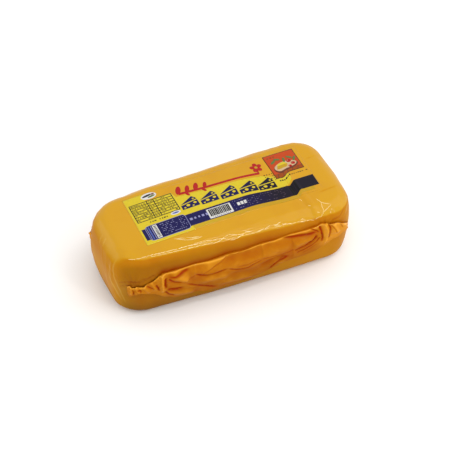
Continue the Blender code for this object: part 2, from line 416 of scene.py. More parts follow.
@dataclass(frozen=True)
class WrapRelief:
    """Unevenness of the film on the loaf: lumps of the cheese, ripples, pleats and wrinkles.

    Lengths are in millimetres. Places on the top are x and y in the loaf's own frame. Places on a
    side are the distance along it, which runs on round the ends, and the height. Streaks are
    shallow ridges drawn round the corner, which get a pale painted highlight along them.
    """

    lumps: Waves = Waves(seed=3, shortest=45, longest=110, height=0.55)
    ripples: Waves = Waves(seed=8, shortest=12, longest=26, height=0.05)
    dents: Waves = Waves(seed=21, shortest=18, longest=44, height=0.2, stretch=(1.0, 0.7, 0.7))
    top_folds: tuple[Fold, ...] = (
        Fold((90, 12), (98, -66), 1.0, 5, 5, 12, True),
        Fold((84, 2), (91, -62), -1.2, 4, 5, 12, True),
        Fold((106, -50), (103, -68), 0.5, 5, 5, 4, True),
        Fold((-74, -36), (-46, -45), 0.5, 4, 4, 6, True),
        Fold((40, -63), (50, -65), 0.4, 4, 4, 4, True),
    )
    front_folds: tuple[Fold, ...] = (
        Fold((-190, 68), (-160, 62), -0.6, 3, 4, 8),
        Fold((-150, 40), (-128, 46), 0.6, 3, 4, 5),
        Fold((-140, 32), (-122, 42), 0.5, 3, 3, 5),
        Fold((-168, 74), (-158, 20), 0.5, 4, 5, 10),
        Fold((-182, 80), (-172, 28), 0.4, 3, 4, 10),
        Fold((-196, 84), (-190, 44), 0.35, 3, 4, 10),
        Fold((-214, 82), (-204, 58), 0.4, 2.5, 3, 6),
        Fold((132, 82), (150, 88), 0.5, 2.5, 3, 5),
        Fold((136, 72), (150, 84), 0.5, 2.5, 3, 5),
    )
    front_creases: tuple[Crease, ...] = (
        Crease(((-166, 55), (-158, 58.5), (-149, 61), (-134, 62), (-118, 63)), 0.7, 0.9, 0.4, 6, 6),
        Crease(((-164, 50), (-156, 53.5), (-148, 55), (-139, 54.5)), 0.6, 0.9, 0.3, 5, 6),
        Crease(((-128, 66), (-118, 66), (-108, 70)), 0.6, 1.0, 0.3, 5, 5),
        Crease(((116, 75), (128, 76), (140, 82)), 0.6, 1.1, 0.4, 6, 6),
    )
    front_gathers: tuple[Gather, ...] = (
        Gather((-134, 54), 22, 0.7, 13, 0.4),
        Gather((-104, 60), 20, 0.5, 11, 1.1),
        Gather((108, 66), 22, 0.6, 13, 0.2),
    )
    back_gathers: tuple[Gather, ...] = (
        Gather((-158, 52), 24, 0.8, 13, 0.9),
        Gather((-108, 60), 20, 0.5, 11, 0.3),
        Gather((106, 64), 22, 0.6, 13, 0.7),
    )
    top_creases: tuple[Crease, ...] = (
        Crease(((110, -37), (126, -36), (142, -34)), 0.35, 0.9, 0.35, 7, 10),
        Crease(((122, 20), (132, 21), (142, 22)), 0.3, 0.9, 0.3, 7, 8),
    )
    streaks: tuple[Crease, ...] = (
        Crease(((-175, 88), (-176, 73), (-173.5, 62), (-168, 54), (-162, 45), (-157, 32), (-153, 18)),
               -0.25, 1.3, 0, 8, 14),
        Crease(((-190, 61), (-182, 54), (-174, 47), (-167, 37), (-161, 25)), -0.25, 1.6, 0, 8, 14),
        Crease(((-200, 52), (-192, 38), (-181, 27), (-172, 16)), -0.2, 1.5, 0, 8, 14),
        Crease(((-183, 80), (-184, 66), (-180, 56)), -0.2, 1.2, 0, 8, 12),
        Crease(((-216, 91), (-210, 79)), -0.25, 1.0, 0, 8, 6),
        Crease(((-224, 88), (-219, 76)), -0.2, 1.0, 0, 8, 6),
        Crease(((166, 78), (156, 79), (147, 77), (139, 71)), -0.25, 1.2, 0, 8, 8),
        Crease(((164, 70), (154, 68), (146, 62)), -0.2, 1.1, 0, 8, 8),
    )
    under_label: float = 0.35

    def on_top(self, x: np.ndarray, y: np.ndarray) -> np.ndarray:
        """Relief of the top at places in the loaf's own frame, all in millimetres."""
        level = np.full_like(x, 92.0)
        return self.shared(x, y, level) + sum(fold.relief(x, y) for fold in self.top_folds)

    def shared(self, x: np.ndarray, y: np.ndarray, z: np.ndarray) -> np.ndarray:
        """The lumps and ripples that every face has, in millimetres."""
        return self.lumps.at(x, y, z) + self.ripples.at(x, y, z)


@dataclass(frozen=True)
class FilmFinish:
    """Shrink film: blown polyolefin, dyed yellow, drawn tight with hot air.

    Light that has passed one layer comes back golden. Where several plies lie on each other, or
    down in a crease, it comes back deep orange. Where the film is tight its gloss is sharp, and
    where it is slack or gathered it is dim. The mesh's LAYERS_AND_SHADE attribute says which, from 0 in a
    crease to 1 on the open top, and it also carries painted shade on the sides, in creases and
    along the fins, and a painted highlight on the fins' lips. PAINTED_SHADE is painted shade that darkens
    the colour, and PAINTED_SHEEN mixes in a pale painted sheen on the ends and along the streaks.

    The film clings and lifts in patches about 40 mm across, which are its clouds. It puckers
    between them at about 6 mm, and at half of that where it is gathered.
    """

    name: str
    # The ramp's colours, from the open top to a crease; body and depth partly carry painted shade.
    crest: str
    body: str
    depth: str
    roughness: float = 0.42
    gloss: float = 0.02
    tight_coat: float = 0.5
    slack_coat: float = 0.04
    coat_roughness: float = 0.1
    # Polyolefin film refracts as polyethylene does, at 1.49 to 1.51.
    ior: float = 1.49
    cloud_mm: float = 38.0
    wrinkle_mm: float = 6.0
    wrinkle_height: float = 0.00002
    cloudiness: float = 0.25
    gloss_change: float = 0.06
    slack_below: float = 0.7
    painted_sheen_colour: str = "d0a950"

    def material(self) -> bpy.types.Material:
        """Build the film's material.

        Returns:
            The material.
        """
        material, tree, shader = new_material(self.name)
        place = add_node(tree, "ShaderNodeTexCoord").outputs["Object"]
        cloud = add_node(tree, "ShaderNodeTexNoise",
                         {"Vector": place, "Scale": 1 / (self.cloud_mm * MM), "Detail": 3.0,
                          "Roughness": 0.55})
        level = add_node(tree, "ShaderNodeAttribute", attribute_name=LAYERS_AND_SHADE).outputs["Fac"]
        cloudy = add_node(tree, "ShaderNodeMapRange",
                          {"Value": cloud.outputs["Fac"], "To Min": -self.cloudiness,
                           "To Max": self.cloudiness})
        mixed = add_node(tree, "ShaderNodeMath", {0: level, 1: cloudy.outputs["Result"]}, operation="ADD")
        # The ramp follows LAYERS_AND_SHADE, so it paints shade in creases and on the sides as well as the
        # film's plies.
        ramp = add_node(tree, "ShaderNodeValToRGB", {"Fac": mixed.outputs[0]})
        ramp.color_ramp.elements[0].color = linear(self.depth)
        ramp.color_ramp.elements[1].color = linear(self.crest)
        ramp.color_ramp.elements.new(0.5).color = linear(self.body)
        # PAINTED_SHEEN mixes in a pale painted sheen, and PAINTED_SHADE darkens the colour as painted
        # shade.
        painted_sheen = add_node(tree, "ShaderNodeAttribute", attribute_name=PAINTED_SHEEN).outputs["Fac"]
        paled = add_node(tree, "ShaderNodeMix",
                         {0: painted_sheen, 6: ramp.outputs["Color"], 7: linear(self.painted_sheen_colour)}, data_type="RGBA")
        painted_shade = add_node(tree, "ShaderNodeAttribute", attribute_name=PAINTED_SHADE).outputs["Fac"]
        tone = add_node(tree, "ShaderNodeMath", {0: 1.0, 1: painted_shade}, operation="SUBTRACT")
        toned = add_node(tree, "ShaderNodeHueSaturation",
                         {"Color": paled.outputs[2], "Value": tone.outputs[0]})
        tree.links.new(toned.outputs["Color"], shader.inputs["Base Color"])
        wrinkle = add_node(tree, "ShaderNodeTexNoise",
                           {"Vector": place, "Scale": 1 / (self.wrinkle_mm * MM), "Detail": 4.0,
                            "Roughness": 0.6, "Distortion": 0.8})
        bump = add_node(tree, "ShaderNodeBump",
                        {"Height": wrinkle.outputs["Fac"], "Distance": self.wrinkle_height,
                         "Strength": 1.0})
        tree.links.new(bump.outputs["Normal"], shader.inputs["Normal"])
        sheen = add_node(tree, "ShaderNodeMapRange",
                         {"Value": cloud.outputs["Fac"], "From Min": 0.3, "From Max": 0.7,
                          "To Min": self.roughness - self.gloss_change,
                          "To Max": self.roughness + self.gloss_change})
        tree.links.new(sheen.outputs["Result"], shader.inputs["Roughness"])
        shine = add_node(tree, "ShaderNodeMapRange",
                         {"Value": level, "From Min": self.slack_below, "From Max": 1.0,
                          "To Min": self.slack_coat, "To Max": self.tight_coat})
        tree.links.new(shine.outputs["Result"], shader.inputs["Coat Weight"])
        shader.inputs["Specular IOR Level"].default_value = self.gloss
        shader.inputs["Coat Roughness"].default_value = self.coat_roughness
        shader.inputs["IOR"].default_value = self.ior
        return material


@dataclass(frozen=True)
class InkFinish:
    """Gravure ink, rolled onto film from an etched cylinder.

    The eye gets a flat, even colour, a little mottled, with the film's own soft gloss over it. An
    ink with a second colour fades to it along X, from one place to another in metres.
    """

    name: str
    colour: str
    far_colour: str = ""
    roughness: float = 0.45
    gloss: float = 0.03
    coat: float = 0.27
    coat_roughness: float = 0.12
    ior: float = 1.49
    fade_from: float = -0.02
    fade_to: float = 0.08
    # The screen has about 60 cells to the centimetre, too fine to show, so the mottle is coarser.
    mottle_mm: float = 2.2
    mottle: float = 0.12

    def material(self) -> bpy.types.Material:
        """Build the ink's material.

        Returns:
            The material.
        """
        material, tree, shader = new_material(self.name)
        place = add_node(tree, "ShaderNodeTexCoord").outputs["Object"]
        along = add_node(tree, "ShaderNodeSeparateXYZ", {"Vector": place}).outputs["X"]
        fade = add_node(tree, "ShaderNodeMapRange",
                        {"Value": along, "From Min": self.fade_from, "From Max": self.fade_to},
                        interpolation_type="SMOOTHSTEP")
        near = linear(self.colour)
        far = linear(self.far_colour or self.colour)
        base = add_node(tree, "ShaderNodeMix",
                        {0: fade.outputs["Result"], 6: near, 7: far}, data_type="RGBA")
        grain = add_node(tree, "ShaderNodeTexNoise",
                         {"Vector": place, "Scale": 1 / (self.mottle_mm * MM), "Detail": 2.0})
        tone = add_node(tree, "ShaderNodeMapRange",
                        {"Value": grain.outputs["Fac"], "To Min": 1 - self.mottle,
                         "To Max": 1 + self.mottle})
        inked = add_node(tree, "ShaderNodeHueSaturation",
                         {"Color": base.outputs[2], "Value": tone.outputs["Result"]})
        tree.links.new(inked.outputs["Color"], shader.inputs["Base Color"])
        shader.inputs["Roughness"].default_value = self.roughness
        shader.inputs["Specular IOR Level"].default_value = self.gloss
        shader.inputs["Coat Weight"].default_value = self.coat
        shader.inputs["Coat Roughness"].default_value = self.coat_roughness
        shader.inputs["IOR"].default_value = self.ior
        return material


# One tight layer over pale cheese: a golden yellow with a sharp gloss on the open top. Its body
# and depth colours are partly the sides' deeper film and partly painted shade.
WRAP_FILM = FilmFinish("shrink_film_on_cheese", crest="c48f0a", body="b4710a", depth="9b3e00")
# Pale cream film on the highlight ridges: painted highlights along the front edge of the top.
HIGHLIGHT_RIDGE_FILM = FilmFinish("painted_highlight_ridge_film", crest="f0dc9c", body="e2c070", depth="c89a40",
                          roughness=0.35, tight_coat=0.8, cloud_mm=9.0)
# Film gathered several times over and slack: a deeper orange with a dim, broken gloss. It is
# nearly brown in the creases, partly the gathered film and partly painted shade.
FIN_FILM = FilmFinish("gathered_shrink_film", crest="e09a26", body="b06708", depth="962e00", roughness=0.4,
                      wrinkle_mm=3.0, wrinkle_height=0.00004, cloud_mm=16.0, tight_coat=0.3)


class Ink(Enum):
    """The label's inks, each with its finish, in the order in which they are made."""

    YELLOW = InkFinish("yellow_gravure_ink", "c7b126")
    STRIP = InkFinish("yellow_strip_gravure_ink", "b9981f", "b28b1b", fade_from=-0.06, fade_to=0.05)
    NAVY = InkFinish("navy_gravure_ink", "171548", "17111e", fade_from=0.01, fade_to=0.07)
    DARK = InkFinish("painted_pleat_shade_ink", "070609")
    BLUE = InkFinish("blue_gravure_ink", "48579b")
    WHITE = InkFinish("white_gravure_ink", "cccac6")
    PALE = InkFinish("pale_gravure_ink", "8585ae", "56444f")
    GREY = InkFinish("grey_gravure_ink", "32302d")
    BLACK = InkFinish("black_gravure_ink", "262415")
    RED = InkFinish("red_gravure_ink", "a31d17")
    ORANGE = InkFinish("orange_gravure_ink", "b24117")
    RUST = InkFinish("rust_gravure_ink", "8e4210")
    CREAM = InkFinish("cream_gravure_ink", "c0a17c")
    GREEN = InkFinish("green_gravure_ink", "596c37")
    BROWN = InkFinish("brown_gravure_ink", "653524")


def new_material(name: str) -> tuple[bpy.types.Material, bpy.types.NodeTree, bpy.types.Node]:
    """Start a material.

    Args:
        name: the material's name.

    Returns:
        The material, its node tree and its Principled shader.
    """
    material = bpy.data.materials.new(name)
    material.use_nodes = True
    return material, material.node_tree, material.node_tree.nodes["Principled BSDF"]


def new_piece(name: str, mesh: bpy.types.Mesh, material: bpy.types.Material) -> bpy.types.Object:
    """Make an object of a mesh, smooth and with its material.

    Args:
        name: the piece's name.
        mesh: its mesh, in the row frame.
        material: its material.

    Returns:
        The object, at the origin.
    """
    mesh.name = name
    mesh.materials.clear()
    mesh.materials.append(material)
    mesh.shade_smooth()
    piece = bpy.data.objects.new(name, mesh)
    bpy.context.scene.collection.objects.link(piece)
    return piece


def hand_over(piece: bpy.types.Object, node: str) -> None:
    """Tell the frame what a finished piece rides on and stands for.

    Args:
        piece: the piece.
        node: the CAD node that it stands for.
    """
    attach(piece, BODY)
    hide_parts(node)
    LOG.info("%s: %d faces", piece.name, len(piece.data.polygons))


def read_points(mesh: bpy.types.Mesh) -> np.ndarray:
    """Read a mesh's points.

    Args:
        mesh: the mesh.

    Returns:
        An array with a row for each point.
    """
    flat = np.empty(len(mesh.vertices) * 3)
    mesh.vertices.foreach_get("co", flat)
    return flat.reshape(-1, 3)


def write_points(mesh: bpy.types.Mesh, points: np.ndarray) -> None:
    """Move a mesh's points to the rows of an array."""
    mesh.vertices.foreach_set("co", points.ravel())
    mesh.update()


def face_outwards(mesh: bpy.types.Mesh) -> None:
    """Drop a closed mesh's faces that have no area, and turn the others outwards.

    Args:
        mesh: the mesh, with its attributes already painted.
    """
    shape = bmesh.new()
    shape.from_mesh(mesh)
    bmesh.ops.dissolve_degenerate(shape, dist=0.001 * MM, edges=shape.edges[:])
    bmesh.ops.recalc_face_normals(shape, faces=shape.faces)
    shape.to_mesh(mesh)
    shape.free()


def paint(mesh: bpy.types.Mesh, name: str, values: np.ndarray) -> None:
    """Write one value for each point of a mesh into an attribute that the film's material reads."""
    mesh.attributes.new(name, "FLOAT", "POINT").data.foreach_set("value", values)


def evaluated_mesh(carrier: bpy.types.Object) -> bpy.types.Mesh:
    """Make a plain mesh of what an object's modifiers give."""
    graph = bpy.context.evaluated_depsgraph_get()
    return bpy.data.meshes.new_from_object(carrier.evaluated_get(graph))


def run_tree(tree: bpy.types.NodeTree, values: dict[str, object],
             given: bpy.types.Mesh | None = None) -> bpy.types.Mesh:
    """Evaluate a Geometry Nodes tree with its named inputs set.

    Args:
        tree: the tree.
        values: a value for each input's name.
        given: the mesh that the tree starts from, if it has such an input.

    Returns:
        The mesh that it makes.
    """
    carrier = bpy.data.objects.new("carrier", given or bpy.data.meshes.new("carrier"))
    bpy.context.scene.collection.objects.link(carrier)
    modifier = carrier.modifiers.new("shape", "NODES")
    modifier.node_group = tree
    for item in tree.interface.items_tree:
        if item.in_out == "INPUT" and item.name in values:
            modifier[item.identifier] = values[item.name]
    mesh = evaluated_mesh(carrier)
    bpy.data.objects.remove(carrier)
    return mesh


def new_tree(name: str, sockets: dict[str, str]) -> tuple[bpy.types.NodeTree, bpy.types.Node]:
    """Start a Geometry Nodes tree.

    Args:
        name: the tree's name.
        sockets: the socket type of each named input.

    Returns:
        The tree and its input node.
    """
    tree = bpy.data.node_groups.new(name, "GeometryNodeTree")
    for label, kind in sockets.items():
        tree.interface.new_socket(label, in_out="INPUT", socket_type=kind)
    tree.interface.new_socket("Geometry", in_out="OUTPUT", socket_type="NodeSocketGeometry")
    return tree, add_node(tree, "NodeGroupInput")


def end_tree(tree: bpy.types.NodeTree, shape: bpy.types.NodeSocket, material: bpy.types.NodeSocket) -> None:
    """End a tree with real geometry that has its material.

    Args:
        tree: the tree.
        shape: the socket that gives the geometry.
        material: the socket that gives the material.
    """
    real = add_node(tree, "GeometryNodeRealizeInstances", {"Geometry": shape})
    dressed = add_node(tree, "GeometryNodeSetMaterial",
                       {"Geometry": real.outputs["Geometry"], "Material": material})
    add_node(tree, "NodeGroupOutput", {"Geometry": dressed.outputs["Geometry"]})


def lattice_tree() -> bpy.types.NodeTree:
    """Build a tree that makes a cube with a lattice of faces on each side.

    Returns:
        The tree.
    """
    tree, given = new_tree("lattice_block", {
        "Along": "NodeSocketInt", "Across": "NodeSocketInt", "Up": "NodeSocketInt",
        "Material": "NodeSocketMaterial"})
    cube = add_node(tree, "GeometryNodeMeshCube", {
        "Size": (2.0, 2.0, 2.0), "Vertices X": given.outputs["Along"],
        "Vertices Y": given.outputs["Across"], "Vertices Z": given.outputs["Up"]})
    end_tree(tree, cube.outputs["Mesh"], given.outputs["Material"])
    return tree


def dash_tree() -> bpy.types.NodeTree:
    """Build a tree that prints rows of small bars, each of a random length, with random gaps.

    Returns:
        The tree.
    """
    tree, given = new_tree("printed_dashes", {
        "Columns": "NodeSocketInt", "Rows": "NodeSocketInt", "Pitch": "NodeSocketVector",
        "Shortest": "NodeSocketVector", "Longest": "NodeSocketVector", "Kept": "NodeSocketFloat",
        "Seed": "NodeSocketInt", "Material": "NodeSocketMaterial"})
    take = given.outputs
    pitch = add_node(tree, "ShaderNodeSeparateXYZ", {"Vector": take["Pitch"]})
    spans = []
    for count, step in (("Columns", "X"), ("Rows", "Y")):
        gaps = add_node(tree, "ShaderNodeMath", {0: take[count], 1: 1.0}, operation="SUBTRACT")
        span = add_node(tree, "ShaderNodeMath", {0: gaps.outputs[0], 1: pitch.outputs[step]},
                        operation="MULTIPLY")
        spans.append(span.outputs[0])
    grid = add_node(tree, "GeometryNodeMeshGrid", {
        "Size X": spans[0], "Size Y": spans[1],
        "Vertices X": take["Columns"], "Vertices Y": take["Rows"]})
    keep = add_node(tree, "FunctionNodeRandomValue",
                    {"Probability": take["Kept"], "Seed": take["Seed"]}, data_type="BOOLEAN")
    spots = add_node(tree, "GeometryNodeMeshToPoints",
                     {"Mesh": grid.outputs["Mesh"], "Selection": keep.outputs[3]})
    size = add_node(tree, "FunctionNodeRandomValue",
                    {0: take["Shortest"], 1: take["Longest"], "Seed": take["Seed"]},
                    data_type="FLOAT_VECTOR")
    bar = add_node(tree, "GeometryNodeMeshGrid",
                   {"Size X": 1.0, "Size Y": 1.0, "Vertices X": 2, "Vertices Y": 2})
    printed = add_node(tree, "GeometryNodeInstanceOnPoints", {
        "Points": spots.outputs["Points"], "Instance": bar.outputs["Mesh"], "Scale": size.outputs[0]})
    end_tree(tree, printed.outputs["Instances"], take["Material"])
    return tree


def cord_tree() -> bpy.types.NodeTree:
    """Build a tree that turns lines into thin closed cords, each point with its own girth.

    Returns:
        The tree.
    """
    tree, given = new_tree("film_cords", {
        "Lines": "NodeSocketGeometry", "Sides": "NodeSocketInt", "Radius": "NodeSocketFloat",
        "Material": "NodeSocketMaterial"})
    line = add_node(tree, "GeometryNodeMeshToCurve", {"Mesh": given.outputs["Lines"]})
    ring = add_node(tree, "GeometryNodeCurvePrimitiveCircle",
                    {"Resolution": given.outputs["Sides"], "Radius": given.outputs["Radius"]})
    girth = add_node(tree, "GeometryNodeInputNamedAttribute", {"Name": "girth"}, data_type="FLOAT")
    cord = add_node(tree, "GeometryNodeCurveToMesh", {
        "Curve": line.outputs["Curve"], "Profile Curve": ring.outputs["Curve"],
        "Scale": girth.outputs["Attribute"], "Fill Caps": True})
    end_tree(tree, cord.outputs["Mesh"], given.outputs["Material"])
    return tree


def upright(normals: np.ndarray) -> np.ndarray:
    """How far surfaces stand upright, from 0 to 1, by their normals."""
    return 1 - soft(np.abs(normals[:, 2]), 0.75, 0.95)


@dataclass
class FilmWrap:
    """The film over the whole loaf, without its fins.

    Lengths are in millimetres, and levels and shares run from 0 to 1. Painted shade darkens the
    front shoulder past an even line, where the surface normal rises by `front_line`. That falls
    by `front_line_slope` for each millimetre towards the broader end.
    """

    form: LoafForm
    relief: WrapRelief
    finish: FilmFinish
    fins: list["FilmFin"]
    faces_along: int = 232
    faces_across: int = 108
    faces_up: int = 70
    crowding: float = 0.8
    rest_height: float = 8.0
    label_box: tuple[float, float, float, float] = LABEL_BOX
    label_inset: float = 1.0
    side_level: float = 0.5
    side_crease_shade: float = 0.3
    top_crease_shade: float = 0.25
    fin_shade: float = 6.0
    pocket_light: float = 0.8
    end_lift: float = 0.1
    low_lift: float = 0.12
    end_painted_sheen: float = 0.18
    streak_painted_highlight: float = 0.45
    front_painted_shade: float = 0.28
    low_painted_shade: float = 0.36
    front_line: float = 0.61
    front_line_slope: float = -0.0012
    front_line_width: float = 0.1

    def build(self) -> bpy.types.Object:
        """Build the wrap: a lattice block, shaped by the loaf's form and then by the relief.

        Returns:
            The piece, a closed mesh.
        """
        material = self.finish.material()
        mesh = run_tree(lattice_tree(), {
            "Along": self.faces_along + 1, "Across": self.faces_across + 1, "Up": self.faces_up + 1,
            "Material": material})
        even = read_points(mesh)
        cube = np.sin(even * math.pi / 2 * self.crowding) / math.sin(math.pi / 2 * self.crowding)
        write_points(mesh, np.stack(self.form.surface(*cube.T), axis=-1))
        wrap = new_piece("film_wrap", mesh, material)
        normals = np.empty(len(mesh.vertices) * 3)
        mesh.vertex_normals.foreach_get("vector", normals)
        normals = normals.reshape(-1, 3)
        points = read_points(mesh)
        height, tints = self.height_and_tints(points, normals, cube)
        write_points(mesh, points + normals * (height * MM)[:, None])
        for name, values in tints.items():
            paint(mesh, name, values)
        return wrap

    def tones(self, x: np.ndarray, z: np.ndarray, normals: np.ndarray) -> list[np.ndarray]:
        """How the smooth film looks, from the way that it faces and its height.

        Args:
            x: places along the loaf.
            z: heights.
            normals: the form's normals there.

        Returns:
            The values of LAYERS_AND_SHADE, PAINTED_SHADE and PAINTED_SHEEN.
        """
        rise = normals[:, 2]
        to_front = -normals[:, 1]
        on_end = soft(np.abs(normals[:, 0]), 0.3, 0.8)
        open_top = soft(rise, 0.1, 0.95)
        # Painted shade: over the front shoulder the tone darkens at a line. Elsewhere it eases with the
        # slope, partly the sides' deeper film colour and partly painted shade.
        line = self.front_line + self.front_line_slope * x
        past_line = soft(rise, line, line + self.front_line_width)
        openness = open_top + soft(to_front, 0.25, 0.5) * (past_line - open_top)
        level = self.side_level + (1 - self.side_level) * openness
        level = level + self.end_lift * on_end * (1 - soft(rise)) + self.low_lift * soft(z, 45, 5)
        # Painted shade darkens the front most at the narrow end, and the lowest 34 mm all round.
        on_front = soft(to_front, 0.4, 0.8) * (1 - soft(rise, 0.3, 0.8))
        painted_shade = self.front_painted_shade * np.clip(0.5 - x / 200, 0, 1) * on_front
        painted_shade = painted_shade + self.low_painted_shade * soft(z, 34, 0) * (0.6 - 0.3 * np.clip(x / 120, -1, 1))
        # A pale painted sheen on the upright parts of the ends, at mid height.
        painted_sheen = self.end_painted_sheen * on_end * upright(normals) * soft(z, 70, 46) * soft(z, 26, 50)
        return [level, painted_shade, painted_sheen]

    def height_and_tints(self, points: np.ndarray, normals: np.ndarray,
                         cube: np.ndarray) -> tuple[np.ndarray, dict[str, np.ndarray]]:
        """How far each point moves outwards, and how its film looks.

        Args:
            points: the points on the smooth form, in metres.
            normals: the form's normals there.
            cube: the same points on the cube.

        Returns:
            Heights in millimetres, and values from 0 to 1 for each attribute of the film.
        """
        relief = self.relief
        x = (points[:, 0] + self.form.centre[0]) / MM
        y = (points[:, 1] + self.form.centre[1]) / MM
        z = points[:, 2] / MM
        rise = normals[:, 2]
        facing_up = soft(rise, 0.35, 0.75)
        on_edge = soft(rise, 0.25, 0.55) * soft(rise, 0.985, 0.925)
        height = relief.shared(x, y, z) + on_edge * relief.dents.at(x, y, z)
        level, painted_shade, painted_sheen = self.tones(x, z, normals)
        front = self.form.along_side(Side.FRONT, cube[:, 0], cube[:, 1])
        back = self.form.along_side(Side.BACK, cube[:, 0], cube[:, 1])
        # What starts on a long side runs on round the ends, but not onto the other long side.
        near_front = upright(normals) * (cube[:, 1] < 0.98)
        near_back = upright(normals) * (cube[:, 1] > 0)
        for parts, across, up, share in (
                (relief.top_folds, x, y, facing_up),
                (relief.front_folds + relief.front_gathers, front, z, near_front),
                (relief.back_gathers, back, z, near_back)):
            for part in parts:
                height = height + share * part.relief(across, up)
        # Creases press the film in and darken it with painted shade.
        for creases, across, up, share, mark in (
                (relief.front_creases, front, z, near_front, self.side_crease_shade),
                (relief.top_creases, x, y, facing_up, self.top_crease_shade)):
            for crease in creases:
                pressed, dark = crease.press(across, up)
                height = height + share * pressed
                level = level - share * mark * dark
        # Streaks raise the film a little and get a pale painted highlight.
        for streak in relief.streaks:
            raised, pale = streak.press(front, z)
            height = height + near_front * raised
            painted_sheen = painted_sheen + near_front * self.streak_painted_highlight * pale
        # Painted shade along each fin's root, where the fin stands out from the loaf, most of all at the
        # narrow end and less where a pocket opens behind the rim.
        for fin in self.fins:
            along = front if fin.side is Side.FRONT else back
            away = (z - fin.on_line(fin.root, along)) / self.fin_shade
            stands = soft(fin.on_line(fin.stand, along), 0, 3)
            shade = stands * np.exp(-np.where(away > 0, away, away / 2) ** 2)
            shade = shade * (1 - self.pocket_light * soft(fin.on_line(fin.cup, along), 0, 2))
            shade = shade * (0.7 - np.clip(along / 250, -0.3, 0.4)) * (cube[:, 1] * fin.side.value > 0.5)
            level = level - self.side_level * shade
        # The film is pressed in a little under the label.
        left, right, low, high = self.label_box
        inside = np.minimum(np.minimum(x - left, right - x), np.minimum(y - low, high - y))
        sunk = soft(inside, self.label_inset, self.label_inset + 2)
        height = height - facing_up * relief.under_label * sunk
        tints = {LAYERS_AND_SHADE: level, PAINTED_SHADE: painted_shade, PAINTED_SHEEN: painted_sheen}
        tints = {name: np.clip(values, 0, 1) for name, values in tints.items()}
        return height * soft(z, 0, self.rest_height), tints


